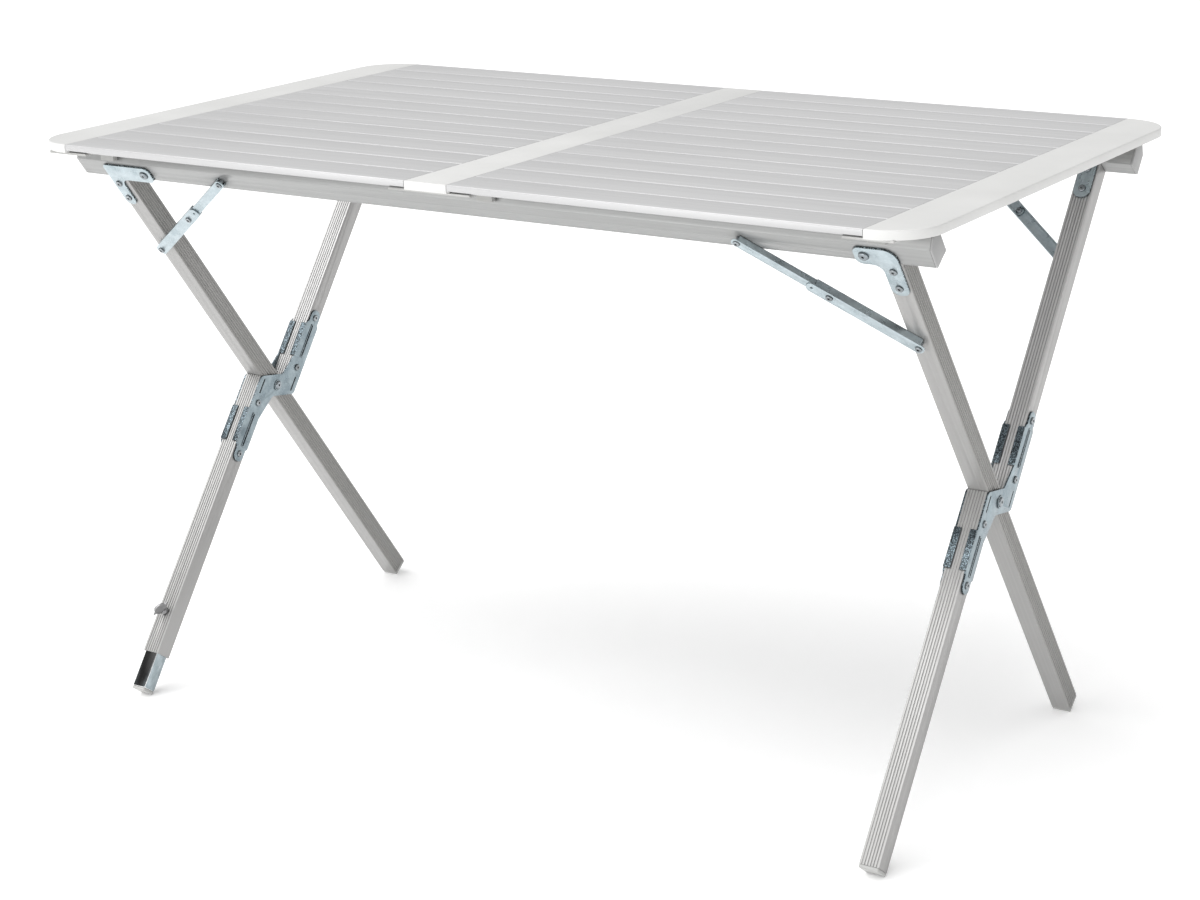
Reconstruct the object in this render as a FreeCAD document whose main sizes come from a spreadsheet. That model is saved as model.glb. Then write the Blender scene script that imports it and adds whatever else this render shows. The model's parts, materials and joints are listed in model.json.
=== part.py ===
import FreeCAD, Part
import os
import Sketcher
from FreeCAD import Vector

# Folding picnic table: a slatted top rests on two long rails. A long leg pair hangs from the
# front rail and a split leg pair from the rear rail. They cross in an X at each end and turn
# about the two crossing pins, and one front foot slides out to suit uneven ground.
#
# Millimetres. +X runs along the table, -Y is the front, +Z is up. The origin is on the floor
# under the middle of the top.

SIZES = [
    ("total_length", 1150, "tabletop length"),
    ("total_width", 700, "tabletop width"),
    ("total_height", 710, "floor to the tabletop's upper face"),
    ("board_thick", 10, "thickness of the end boards, centre board and slats"),
    ("end_board_wide", 58, "end board, along the table"),
    ("centre_board_wide", 55, "centre board, along the table"),
    ("corner_round", 56, "plan radius of the tabletop's corners"),
    ("edge_round", 1.5, "rounding of the boards' upper edges"),
    ("board_skin", 2.5, "wall of the moulded boards"),
    ("slat_count", 13, "slats side by side in each half"),
    ("slat_gap", 0.9, "groove between neighbouring slats"),
    ("slat_wall", 1.4, "wall of the slat extrusions"),
    ("slat_bevel", 0.7, "bevel along the slats' upper edges"),
    ("seam_gap", 0.5, "gap between a slat's end and a board"),
    ("lip_height", 7, "front and rear edge lip"),
    ("lip_inset", 10, "lip to the edge slat's first full-height wall"),
    ("ledge_thick", 3, "ledge strip under each board"),
    ("ledge_reach", 26, "how far a ledge reaches under the slat ends"),
    ("ledge_set_back", 6, "ledge end to the tabletop's front and rear edges"),
    ("rest_gap", 0.3, "gap where the lift-off top rests on the rails"),
    ("hook_pad", 4, "ledge to the rail's flat top"),
    ("hook_wide", 20, "rail hook, along the table"),
    ("hook_wall", 8, "lug outside the rail"),
    ("hook_drop", 14, "lug's reach below the ledge"),
    ("hook_end_in", 71, "end hooks in from the table's ends"),
    ("hook_centre_place", 38, "centre hook from the table's middle"),
    ("leg_lean", 53, "legs' slope from the floor, degrees"),
    ("cross_height", 340, "crossing pins above the floor"),
    ("leg_centre", 510, "legs' centre plane from the table's middle"),
    ("leg_wide", 23, "leg tube, along the table"),
    ("leg_deep", 24, "leg tube, across the leg pair's plane"),
    ("leg_wall", 1.6, "leg tube wall"),
    ("nest_gap", 0.6, "gap beside the long leg once the frame is closed"),
    ("stop_gap", 0.35, "gap at the slanted stops beside the long leg"),
    ("flute_count", 6, "flutes on a fluted face"),
    ("flute_pitch", 3.4, "flute spacing"),
    ("flute_wide", 1.3, "flute width"),
    ("flute_deep", 0.6, "flute depth"),
    ("rail_inset", 17, "rail's end to the tabletop's end"),
    ("rail_drop", 33, "rail's height from its lowest edge to its flat top"),
    ("rail_face", 25, "rail's slanted outer face"),
    ("rail_flat", 17, "rail's flat top"),
    ("rail_wall", 1.8, "rail tube wall"),
    ("plug_head", 2.5, "rail plug's head outside the tube"),
    ("plug_core", 19.4, "rail plug's round core"),
    ("plug_depth", 12, "rail plug's and foot cap's depth in the tube"),
    ("cap_head", 4, "foot cap's head"),
    ("cap_slack", 0.15, "foot cap's core to the tube's inner wall"),
    ("bracket_thick", 2.5, "leg bracket plate"),
    ("bracket_short", 27, "right brackets: pivot to the leg's centre plane"),
    ("bracket_long", 48, "left brackets: pivot to the leg's centre plane"),
    ("bracket_low", 3, "rail arm's lower edge below the rail's lowest edge"),
    ("bracket_high", 21, "outer rail arm's upper edge above the rail's lowest edge"),
    ("bracket_under", 2.2, "inner rail arm's upper edge below the rail's flat top"),
    ("bracket_drop", 47, "leg arm's reach below the rail's lowest edge"),
    ("bracket_wide", 20, "leg arm of the short bracket"),
    ("bracket_slim", 16, "leg arm of the long bracket"),
    ("bracket_round", 8, "rounding of the bracket's rail end"),
    ("bracket_elbow", 11, "rounding inside the bracket's elbow"),
    ("shoulder_short", 15, "rounding of the short bracket's outer corner"),
    ("shoulder_long", 5, "rounding of the long bracket's outer corner"),
    ("pivot_up", 9.5, "bracket pivot above the rail's lowest edge"),
    ("rivet_one", 11, "first leg rivet below the rail's lowest edge"),
    ("rivet_two", 36, "second leg rivet below the rail's lowest edge"),
    ("brace_rail_place", 342, "brace pivot on the rail, from the table's middle"),
    ("brace_rail_up", 12.5, "brace pivot above the rail's lowest edge"),
    ("brace_leg_down", 123, "brace pivot on the leg below the rail's lowest edge"),
    ("knee_share", 0.51, "knee's place along the brace from the rail"),
    ("brace_sheet", 1.4, "brace sheet thickness"),
    ("brace_slim", 11, "upper brace channel's width"),
    ("brace_stand", 6, "upper brace web above the rail's face"),
    ("brace_slack", 0.2, "lower brace channel around the upper one"),
    ("brace_end", 6, "brace beyond its end pivot"),
    ("knee_over", 27, "lower brace beyond the knee, as a stop"),
    ("knee_eye", 21, "small eye in that stop from the knee"),
    ("eye_size", 3, "small eye's diameter"),
    ("plate_thick", 2.2, "crossing plate"),
    ("plate_relief", 0.4, "relief in the crossing plate beside the long leg"),
    ("plate_reach", 118, "crossing plate from the pin to each tip"),
    ("plate_corner", 3, "crossing plate's corner past the pin"),
    ("plate_waist", 17, "crossing plate's inner corner from the pin"),
    ("plate_flare", 54, "where the waist's slope meets the arm"),
    ("plate_tip", 18, "width of the crossing plate's tips"),
    ("plate_round", 7, "rounding of the crossing plate's corners"),
    ("cross_rivet_near", 36, "near rivets from the crossing pin, along the leg"),
    ("cross_rivet_far", 108, "far rivets from the crossing pin, along the leg"),
    ("tab_near", 48, "start of the wrapped tab, along the leg"),
    ("tab_far", 95, "end of the wrapped tab, along the leg"),
    ("tab_thick", 2, "wrapped tab's thickness"),
    ("tab_reach", 6, "wrapped tab's reach over the leg's face"),
    ("slot_wide", 2.4, "long slot in a crossing plate's arm"),
    ("slot_near", 52, "long slot's start, along the leg"),
    ("slot_far", 97, "long slot's end, along the leg"),
    ("notch_near", 4, "short slot's start, along the leg"),
    ("notch_far", 24, "short slot's end, along the leg"),
    ("notch_out", 4, "short slot, out from the leg half's middle line"),
    ("tip_step", 3, "plate beyond the tab, and the slant where it narrows to its tip"),
    ("waist_out", 2, "plate's waist corner, off the line through the pin"),
    ("pin_size", 7, "crossing pin's diameter"),
    ("pin_slack", 0.05, "crossing pin's radial clearance in the long leg"),
    ("rivet_size", 5, "rivet shank"),
    ("rivet_head", 8.4, "rivet head"),
    ("rivet_dome", 1.8, "rivet head height"),
    ("rivet_eye", 2.8, "hollow in each fastener's head"),
    ("pivot_size", 6, "bracket pivot shank"),
    ("pivot_head", 11, "bracket pivot head"),
    ("pivot_dome", 2.6, "bracket pivot head height"),
    ("slide_gap", 0.3, "adjustable foot's tube in its leg"),
    ("foot_wall", 1.5, "adjustable foot's tube wall"),
    ("foot_show", 50, "adjustable foot's tube and cap below its leg"),
    ("foot_grip", 100, "adjustable foot's tube inside its leg"),
    ("screw_up", 54, "thumbscrew above the end of its leg"),
    ("screw_size", 6, "thumbscrew shank"),
    ("screw_slack", 0.05, "thumbscrew's radial clearance in the leg wall"),
    ("collar_size", 9, "thumbscrew collar"),
    ("collar_long", 4, "thumbscrew collar, along its axis"),
    ("wing_size", 17, "thumbscrew's round wing"),
    ("wing_thick", 3, "thumbscrew's wing thickness"),
    ("wing_turn", 35, "thumbscrew's wing, turned about the screw's axis"),
]

# Shares of another size.
HEAD_SHARE = 0.7     # of a head's height, for its rounded rim and the depth of its hollow
TIP_SHARE = 0.45     # of a tip's width, for the rounding of its corners
WING_SHARE = 0.42    # of the wing's diameter, from the collar to the wing's middle
BRACE_HEAD = "(Dims.brace_slim * 0.7)"

doc = FreeCAD.newDocument("picnic_table")
sheet = doc.addObject("Spreadsheet::Sheet", "Dims")
for row, (alias, number, meaning) in enumerate(SIZES, start=1):
    sheet.set("A%d" % row, meaning)
    sheet.set("B%d" % row, str(number))
    sheet.setAlias("B%d" % row, alias)
doc.recompute()


def value(expression):
    """The number an expression has now."""
    return float(sheet.evalExpression(str(expression)))


# ---- Places that several pieces share, as expressions ----

SLOPE_UP = "sin(Dims.leg_lean)"
SLOPE_ALONG = "cos(Dims.leg_lean)"
HALF_DEEP = "(Dims.leg_deep / 2)"
HALF_WIDE = "(Dims.leg_wide / 2)"
NEST = "(Dims.leg_deep + Dims.nest_gap)"
BOARD_UNDER = "(Dims.total_height - Dims.board_thick)"
LEDGE_UNDER = "(%s - Dims.ledge_thick)" % BOARD_UNDER
RAIL_TOP = "(%s - Dims.hook_pad)" % LEDGE_UNDER
RAIL_HALF = "(Dims.total_length / 2 - Dims.rail_inset)"
FOOT_WIDE = "(Dims.leg_wide - 2 * Dims.leg_wall - 2 * Dims.slide_gap)"
FOOT_DEEP = "(Dims.leg_deep - 2 * Dims.leg_wall - 2 * Dims.slide_gap)"

# Each leg pair has a frame of its own with its origin midway between the crossing pins: x along
# the table, y up along the legs and z outwards, square to the pair's plane. Both rails then lie
# the same distance from the table's middle.
CROSSING = "vector(0; -%s / %s / 2; Dims.cross_height)" % (NEST, SLOPE_UP)
LEAN = "placement(vector(0; 0; 0); rotation(vector(1; 0; 0); 180 - Dims.leg_lean))"
FRONT = "placement(%s; rotation(vector(0; 0; 1); 0)) * %s" % (CROSSING, LEAN)
REAR = "placement(%s; rotation(vector(0; 0; 1); 180)) * %s" % (CROSSING, LEAN)
LEVEL = "placement(vector(0; 0; 0); rotation(vector(0; 0; 1); 0))"

LEFT = -1
RIGHT = 1
HAND_NAME = {LEFT: "left", RIGHT: "right"}


def along_at(height, out):
    """Distance up the legs from the crossing where a line at `out` reaches a height."""
    return "((%s - Dims.cross_height + (%s) * %s) / %s)" % (height, out, SLOPE_ALONG, SLOPE_UP)


def rail_edge(offset):
    """The rail's lowest edge, as a distance up the legs."""
    low_edge = "(%s - Dims.rail_drop)" % RAIL_TOP
    return along_at(low_edge, "%s + %s" % (offset, HALF_DEEP))


# ---- Building blocks ----

nodes = []


def new_body(label, frame):
    body = doc.addObject("PartDesign::Body", label)
    body.Label = label
    body.setExpression("Placement", frame)
    nodes.append(body)
    return body


def new_sketch(body, role, offset="0"):
    """A sketch on one of the body's own origin planes, moved along the plane's normal."""
    sketch = body.newObject("Sketcher::SketchObject", body.Label + "_sketch")
    plane = [item for item in body.Origin.OriginFeatures if item.Role == role][0]
    sketch.AttachmentSupport = [(plane, "")]
    sketch.MapMode = "FlatFace"
    sketch.setExpression("AttachmentOffset.Base.z", offset)
    return sketch


def place_point(sketch, line, end, spot):
    """Tie a point to the sketch's origin with two expressions."""
    for kind, expression in zip(("DistanceX", "DistanceY"), spot):
        rule = Sketcher.Constraint(kind, -1, 1, line, end, value(expression))
        number = sketch.addConstraint(rule)
        sketch.setExpression("Constraints[%d]" % number, expression)


def outline(sketch, spots):
    """A closed outline of straight lines through the spots."""
    points = [Vector(value(across), value(up), 0) for across, up in spots]
    first = sketch.GeometryCount
    count = len(points)
    for step in range(count):
        sketch.addGeometry(Part.LineSegment(points[step], points[(step + 1) % count]))
    for step in range(count):
        following = first + (step + 1) % count
        sketch.addConstraint(Sketcher.Constraint("Coincident", first + step, 2, following, 1))
    for step, spot in enumerate(spots):
        place_point(sketch, first + step, 1, spot)


def box_outline(sketch, across, up, wide, high):
    """A rectangle about a centre."""
    left = "%s - (%s) / 2" % (across, wide)
    right = "%s + (%s) / 2" % (across, wide)
    low = "%s - (%s) / 2" % (up, high)
    top = "%s + (%s) / 2" % (up, high)
    outline(sketch, [(left, low), (right, low), (right, top), (left, top)])


def circles(sketch, spots, diameter):
    for spot in spots:
        centre = Vector(value(spot[0]), value(spot[1]), 0)
        line = sketch.addGeometry(Part.Circle(centre, Vector(0, 0, 1), value(diameter) / 2))
        place_point(sketch, line, 3, spot)
        rule = Sketcher.Constraint("Diameter", line, value(diameter))
        number = sketch.addConstraint(rule)
        sketch.setExpression("Constraints[%d]" % number, diameter)


def pad(body, sketch, length, centred=False, backwards=False):
    feature = body.newObject("PartDesign::Pad", body.Label + "_pad")
    feature.Profile = sketch
    feature.setExpression("Length", length)
    feature.Midplane = centred
    feature.Reversed = backwards
    doc.recompute()
    return feature


def pocket(body, sketch, length=None, centred=False, backwards=False):
    """Cut a sketch out of the body, right through it where no length is given."""
    before = body.Shape.Volume
    feature = body.newObject("PartDesign::Pocket", body.Label + "_pocket")
    feature.Profile = sketch
    feature.Midplane = centred
    feature.Reversed = backwards
    if length is None:
        feature.Type = "ThroughAll"
    else:
        feature.setExpression("Length", length)
    doc.recompute()
    if body.Shape.Volume > before - 0.01:
        raise RuntimeError("a pocket cuts nothing in " + body.Label)
    return feature


def round_edges(body, radius, wanted):
    """Fillet the edges of the newest feature that the test picks."""
    base = body.Tip
    names = []
    for number, edge in enumerate(base.Shape.Edges, start=1):
        if wanted(edge):
            names.append("Edge%d" % number)
    if not names:
        raise RuntimeError("no edge to round in " + body.Label)
    feature = body.newObject("PartDesign::Fillet", body.Label + "_round")
    feature.Base = (base, names)
    feature.setExpression("Radius", radius)
    doc.recompute()
    return feature


def upright(spots):
    """Picks the edges that stand square to the outline at the given corners."""
    corners = [(value(across), value(up)) for across, up in spots]

    def wanted(edge, slack=0.01):
        ends = [vertex.Point for vertex in edge.Vertexes]
        if len(ends) != 2:
            return False
        for across, up in corners:
            near = [abs(end.x - across) + abs(end.y - up) < slack for end in ends]
            if all(near):
                return True
        return False

    return wanted


def upright_x(spots):
    """The same for outlines that are drawn square to x."""
    corners = [(value(across), value(up)) for across, up in spots]

    def wanted(edge, slack=0.01):
        ends = [vertex.Point for vertex in edge.Vertexes]
        if len(ends) != 2:
            return False
        for across, up in corners:
            near = [abs(end.y - across) + abs(end.z - up) < slack for end in ends]
            if all(near):
                return True
        return False

    return wanted


def studs(label, frame, role, stacks, shank, head, dome):
    """Rivets or pins: a shank through each stack of plates, and at both ends a domed head with
    a hollow in its middle."""
    body = new_body(label, frame)
    for spots, low, high in stacks:
        core = new_sketch(body, role, low)
        circles(core, spots, shank)
        pad(body, core, "%s - (%s)" % (high, low))
        for base in (high, "%s - %s" % (low, dome)):
            cover = new_sketch(body, role, base)
            circles(cover, spots, head)
            pad(body, cover, dome)
    outer = [value(high) + value(dome) for spots, low, high in stacks]
    inner = [value(low) - value(dome) for spots, low, high in stacks]
    pick = "x" if role == "YZ_Plane" else "z"

    def rim(edge, slack=0.01):
        if not isinstance(edge.Curve, Part.Circle):
            return False
        place = getattr(edge.Curve.Center, pick)
        return any(abs(place - level) < slack for level in outer + inner)

    round_edges(body, "%s * %g" % (dome, HEAD_SHARE), rim)
    for spots, low, high in stacks:
        for level, inwards in ((high + " + " + dome, False), ("%s - %s" % (low, dome), True)):
            eye = new_sketch(body, role, level)
            circles(eye, spots, "Dims.rivet_eye")
            pocket(body, eye, "%s * %g" % (dome, HEAD_SHARE), backwards=inwards)


# ---- Tabletop ----

HALF_LONG = "(Dims.total_length / 2)"
HALF_TOP = "(Dims.total_width / 2)"
SLAT_PITCH = "(Dims.total_width / Dims.slat_count)"
SLAT_START = "(Dims.centre_board_wide / 2 + Dims.seam_gap)"
SLAT_END = "(%s - Dims.end_board_wide - Dims.seam_gap)" % HALF_LONG
SLAT_LONG = "(%s - %s)" % (SLAT_END, SLAT_START)


def board_hollow(body, middle, wide):
    """Open the moulded board from below, leaving its skin and cross ribs."""
    bay_count = 7
    bay_long = "((Dims.total_width - 2 * Dims.corner_round) / %d)" % bay_count
    sketch = new_sketch(body, "XY_Plane", BOARD_UNDER)
    for bay in range(bay_count):
        place = "%s * (%g)" % (bay_long, bay - (bay_count - 1) / 2)
        bay_clear = "%s - Dims.board_skin" % bay_long
        box_outline(sketch, middle, place, "%s - 2 * Dims.board_skin" % wide, bay_clear)
    pocket(body, sketch, "Dims.board_thick - Dims.board_skin", backwards=True)


def end_board(hand):
    body = new_body("end_board_" + HAND_NAME[hand], LEVEL)
    outer = "%d * %s" % (hand, HALF_LONG)
    inner = "%d * (%s - Dims.end_board_wide)" % (hand, HALF_LONG)
    sketch = new_sketch(body, "XY_Plane", BOARD_UNDER)
    far_corners = [(outer, "-" + HALF_TOP), (outer, HALF_TOP)]
    outline(sketch, [(inner, "-" + HALF_TOP)] + far_corners + [(inner, HALF_TOP)])
    pad(body, sketch, "Dims.board_thick")
    round_edges(body, "Dims.corner_round", upright(far_corners))
    top = value("Dims.total_height")
    seam = value(inner)

    def rim(edge, slack=0.01):
        box = edge.BoundBox
        on_top = abs(box.ZMin - top) < slack and abs(box.ZMax - top) < slack
        on_seam = abs(box.XMin - seam) < slack and abs(box.XMax - seam) < slack
        return on_top and not on_seam

    round_edges(body, "Dims.edge_round", rim)
    middle = "%d * (%s - Dims.end_board_wide / 2)" % (hand, HALF_LONG)
    board_hollow(body, middle, "Dims.end_board_wide")


def centre_board():
    body = new_body("centre_board", LEVEL)
    sketch = new_sketch(body, "XY_Plane", BOARD_UNDER)
    box_outline(sketch, "0", "0", "Dims.centre_board_wide", "Dims.total_width")
    pad(body, sketch, "Dims.board_thick")
    board_hollow(body, "0", "Dims.centre_board_wide")


def channel_section(left, right, left_drop, ribs):
    """A slat's section: an upper web, two side walls and full-height ribs under it."""
    top = "Dims.total_height"
    bevel = "Dims.slat_bevel"
    web = "(Dims.total_height - Dims.slat_wall)"
    spots = [
        (left, "%s - %s" % (top, left_drop)),
        (left, "%s - %s" % (top, bevel)),
        ("%s + %s" % (left, bevel), top),
        ("%s - %s" % (right, bevel), top),
        (right, "%s - %s" % (top, bevel)),
        (right, BOARD_UNDER),
        ("%s - Dims.slat_wall" % right, BOARD_UNDER),
        ("%s - Dims.slat_wall" % right, web),
    ]
    for rib in ribs:
        near = "%s + Dims.slat_wall / 2" % rib
        far = "%s - Dims.slat_wall / 2" % rib
        spots += [(near, web), (near, BOARD_UNDER), (far, BOARD_UNDER), (far, web)]
    spots += [
        ("%s + Dims.slat_wall" % left, web),
        ("%s + Dims.slat_wall" % left, "%s - %s" % (top, left_drop)),
    ]
    return spots


def slat_section(place):
    """An inner slat, centred on a place across the table."""
    left = "%s - (%s - Dims.slat_gap) / 2" % (place, SLAT_PITCH)
    right = "%s + (%s - Dims.slat_gap) / 2" % (place, SLAT_PITCH)
    ribs = ["%s + %s / 6" % (place, SLAT_PITCH), "%s - %s / 6" % (place, SLAT_PITCH)]
    return channel_section(left, right, "Dims.board_thick", ribs)


def edge_slat_section(face):
    """The front or rear slat with its low lip; face is -1 at the front and 1 at the rear."""
    left = "-" + HALF_TOP
    right = "-%s + %s - Dims.slat_gap / 2" % (HALF_TOP, SLAT_PITCH)
    ribs = ["-%s + %s * 0.6" % (HALF_TOP, SLAT_PITCH), "-%s + Dims.lip_inset" % HALF_TOP]
    section = channel_section(left, right, "Dims.lip_height", ribs)
    return [("%d * (%s)" % (-face, across), up) for across, up in section]


def slat_offset(hand):
    return SLAT_START if hand == RIGHT else "-" + SLAT_END


def edge_slats(hand):
    for face, name in ((-1, "front"), (1, "rear")):
        body = new_body("edge_slat_%s_%s" % (name, HAND_NAME[hand]), LEVEL)
        sketch = new_sketch(body, "YZ_Plane", slat_offset(hand))
        outline(sketch, edge_slat_section(face))
        pad(body, sketch, SLAT_LONG)


def inner_slats(hand):
    body = new_body("slats_" + HAND_NAME[hand], LEVEL)
    first = "-%s + 1.5 * %s" % (HALF_TOP, SLAT_PITCH)
    sketch = new_sketch(body, "YZ_Plane", slat_offset(hand))
    outline(sketch, slat_section(first))
    single = pad(body, sketch, SLAT_LONG)
    row = body.newObject("PartDesign::LinearPattern", body.Label + "_row")
    row.Originals = [single]
    row.Direction = (sketch, ["H_Axis"])
    row.setExpression("Length", "%s * (Dims.slat_count - 3)" % SLAT_PITCH)
    row.setExpression("Occurrences", "Dims.slat_count - 2")
    body.Tip = row
    doc.recompute()


def ledge(label, middle, wide):
    """The strip under a board that carries the slat ends."""
    body = new_body(label, LEVEL)
    sketch = new_sketch(body, "XY_Plane", LEDGE_UNDER)
    ledge_long = "Dims.total_width - 2 * Dims.ledge_set_back"
    box_outline(sketch, middle, "0", wide, ledge_long)
    pad(body, sketch, "Dims.ledge_thick")


def ledges():
    end_cover = "(Dims.end_board_wide - Dims.corner_round / 2)"
    end_wide = "(%s + Dims.ledge_reach)" % end_cover
    end_start = "(%s - Dims.end_board_wide - Dims.ledge_reach)" % HALF_LONG
    for hand in (LEFT, RIGHT):
        middle = "%d * (%s + %s / 2)" % (hand, end_start, end_wide)
        ledge("ledge_" + HAND_NAME[hand], middle, end_wide)
    ledge("ledge_centre", "0", "Dims.centre_board_wide + 2 * Dims.ledge_reach")


def rail_hooks():
    """Six hooks under the ledges: a pad rests on the rail's flat top and a lug lies outside."""
    body = new_body("rail_hooks", LEVEL)
    shift = "%s / %s / 2" % (NEST, SLOPE_UP)
    flat_along = along_at(RAIL_TOP, "-" + HALF_DEEP)
    flat_inner = "(%s + %s * %s - %s * %s)" % (shift, flat_along, SLOPE_ALONG, HALF_DEEP, SLOPE_UP)
    face_along = "(%s + Dims.rail_face)" % rail_edge("0")
    face_out = "(%s + %s * %s + %s * %s)" % (shift, face_along, SLOPE_ALONG, HALF_DEEP, SLOPE_UP)
    lug_inner = "(%s + 2 * Dims.rest_gap)" % face_out
    lug_outer = "(%s + Dims.hook_wall)" % lug_inner
    pad_low = "(%s + Dims.rest_gap)" % RAIL_TOP
    lug_low = "(%s - Dims.hook_drop)" % LEDGE_UNDER
    end_place = "(%s - Dims.hook_end_in)" % HALF_LONG
    places = ["-" + end_place, "Dims.hook_centre_place", end_place]
    for place in places:
        for face in (-1, 1):
            sketch = new_sketch(body, "YZ_Plane", "%s - Dims.hook_wide / 2" % place)
            section = [
                (flat_inner, LEDGE_UNDER),
                (flat_inner, pad_low),
                (lug_inner, pad_low),
                (lug_inner, lug_low),
                (lug_outer, lug_low),
                (lug_outer, LEDGE_UNDER),
            ]
            outline(sketch, [("%d * %s" % (face, across), up) for across, up in section])
            pad(body, sketch, "Dims.hook_wide")


# ---- Rails ----

FRONT_OFFSET = "0"
REAR_OFFSET = NEST


def rail_section(offset):
    """Five corners: the two slanted faces are flush with the legs' faces, the top is flat."""
    outer = "%s + %s" % (offset, HALF_DEEP)
    inner = "%s - %s" % (offset, HALF_DEEP)
    low = rail_edge(offset)
    flat_start = along_at(RAIL_TOP, inner)
    return [
        (low, outer),
        ("%s + Dims.rail_face" % low, outer),
        ("%s + Dims.rail_flat * %s" % (flat_start, SLOPE_ALONG),
         "%s + Dims.rail_flat * %s" % (inner, SLOPE_UP)),
        (flat_start, inner),
        (low, inner),
    ]


def local_x(frame, hand, expression):
    """A place from the table's middle as the leg pair's own x, which the rear pair has turned."""
    turn = hand if frame == FRONT else -hand
    return "%d * %s" % (turn, expression)


def bracket_reach(hand):
    return "Dims.bracket_short" if hand == RIGHT else "Dims.bracket_long"


def pivot_spot(frame, offset, hand):
    across = local_x(frame, hand, "(Dims.leg_centre - %s)" % bracket_reach(hand))
    return (across, "%s + Dims.pivot_up" % rail_edge(offset))


def leg_rivet_spots(frame, offset, hand):
    """The long bracket's slim leg arm lies along the leg's outer side."""
    aside = "0" if hand == RIGHT else "(Dims.leg_wide - Dims.bracket_slim) / 2"
    across = local_x(frame, hand, "(Dims.leg_centre + %s)" % aside)
    edge = rail_edge(offset)
    return [(across, "%s - Dims.rivet_one" % edge), (across, "%s - Dims.rivet_two" % edge)]


def brace_rail_spot(frame, offset, hand):
    across = local_x(frame, hand, "Dims.brace_rail_place")
    return (across, "%s + Dims.brace_rail_up" % rail_edge(offset))


def brace_leg_spot(frame, offset, hand):
    across = local_x(frame, hand, "Dims.leg_centre")
    return (across, "%s - Dims.brace_leg_down" % rail_edge(offset))


def knee_spot(frame, offset, hand):
    start = brace_rail_spot(frame, offset, hand)
    finish = brace_leg_spot(frame, offset, hand)
    blend = "(%s) * (1 - Dims.knee_share) + (%s) * Dims.knee_share"
    return (blend % (start[0], finish[0]), blend % (start[1], finish[1]))


def rail(name, frame, offset):
    body = new_body(name + "_rail", frame)
    sketch = new_sketch(body, "YZ_Plane")
    outline(sketch, rail_section(offset))
    bar = pad(body, sketch, "2 * %s" % RAIL_HALF, centred=True)
    half = value(RAIL_HALF)
    ends = []
    for number, face in enumerate(bar.Shape.Faces, start=1):
        if abs(abs(face.CenterOfMass.x) - half) < 0.01:
            ends.append("Face%d" % number)
    tube = body.newObject("PartDesign::Thickness", body.Label + "_tube")
    tube.Base = (bar, ends)
    tube.setExpression("Value", "Dims.rail_wall")
    tube.Join = 1
    tube.Reversed = True
    body.Tip = tube
    doc.recompute()
    if body.Shape.Volume > bar.Shape.Volume / 2:
        raise RuntimeError("the rail is not hollow")
    bolts = new_sketch(body, "XY_Plane", offset)
    circles(bolts, [pivot_spot(frame, offset, hand) for hand in (LEFT, RIGHT)], "Dims.pivot_size")
    pocket(body, bolts, centred=True)
    joints = new_sketch(body, "XY_Plane", offset)
    spots = [brace_rail_spot(frame, offset, hand) for hand in (LEFT, RIGHT)]
    circles(joints, spots, "Dims.rivet_size")
    pocket(body, joints, backwards=True)


def rail_plug(name, frame, offset, hand):
    """A flush plastic head shaped as the rail's section, on a round core."""
    body = new_body("rail_plug_%s_%s" % (name, HAND_NAME[hand]), frame)
    turn = hand if frame == FRONT else -hand
    start = RAIL_HALF if turn == RIGHT else "-%s - Dims.plug_head" % RAIL_HALF
    sketch = new_sketch(body, "YZ_Plane", start)
    outline(sketch, rail_section(offset))
    pad(body, sketch, "Dims.plug_head")
    core_start = "%s - Dims.plug_depth" % RAIL_HALF if turn == RIGHT else "-" + RAIL_HALF
    core = new_sketch(body, "YZ_Plane", core_start)
    middle = "%s + Dims.rail_wall + Dims.cap_slack + Dims.plug_core / 2" % rail_edge(offset)
    circles(core, [(middle, offset)], "Dims.plug_core")
    pad(body, core, "Dims.plug_depth")


# ---- Legs ----

def leg_tube(label, frame, hand, offset, low, high):
    body = new_body(label, frame)
    across = local_x(frame, hand, "Dims.leg_centre")
    sketch = new_sketch(body, "XZ_Plane", "-(%s)" % high)
    box_outline(sketch, across, offset, "Dims.leg_wide", "Dims.leg_deep")
    inner_wide = "Dims.leg_wide - 2 * Dims.leg_wall"
    inner_deep = "Dims.leg_deep - 2 * Dims.leg_wall"
    box_outline(sketch, across, offset, inner_wide, inner_deep)
    pad(body, sketch, "%s - (%s)" % (high, low))
    return body


def flutes(body, frame, hand, offset, high, on_sides):
    """Shallow grooves down two opposite faces, a pair of them repeated across the face."""
    across = local_x(frame, hand, "Dims.leg_centre")
    first = "(Dims.flute_count - 1) / 2 * Dims.flute_pitch"
    sketch = new_sketch(body, "XZ_Plane", "-(%s)" % high)
    for side in (-1, 1):
        if on_sides:
            face = "%s + %d * %s" % (across, side, HALF_WIDE)
            box_outline(sketch, face, "%s - %s" % (offset, first), "2 * Dims.flute_deep",
                        "Dims.flute_wide")
        else:
            face = "%s + %d * %s" % (offset, side, HALF_DEEP)
            box_outline(sketch, "%s - %s" % (across, first), face, "Dims.flute_wide",
                        "2 * Dims.flute_deep")
    groove = pocket(body, sketch, backwards=True)
    row = body.newObject("PartDesign::LinearPattern", body.Label + "_flutes")
    row.Originals = [groove]
    row.Direction = (sketch, ["V_Axis" if on_sides else "H_Axis"])
    row.setExpression("Length", "Dims.flute_pitch * (Dims.flute_count - 1)")
    row.setExpression("Occurrences", "Dims.flute_count")
    body.Tip = row
    doc.recompute()


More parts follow.
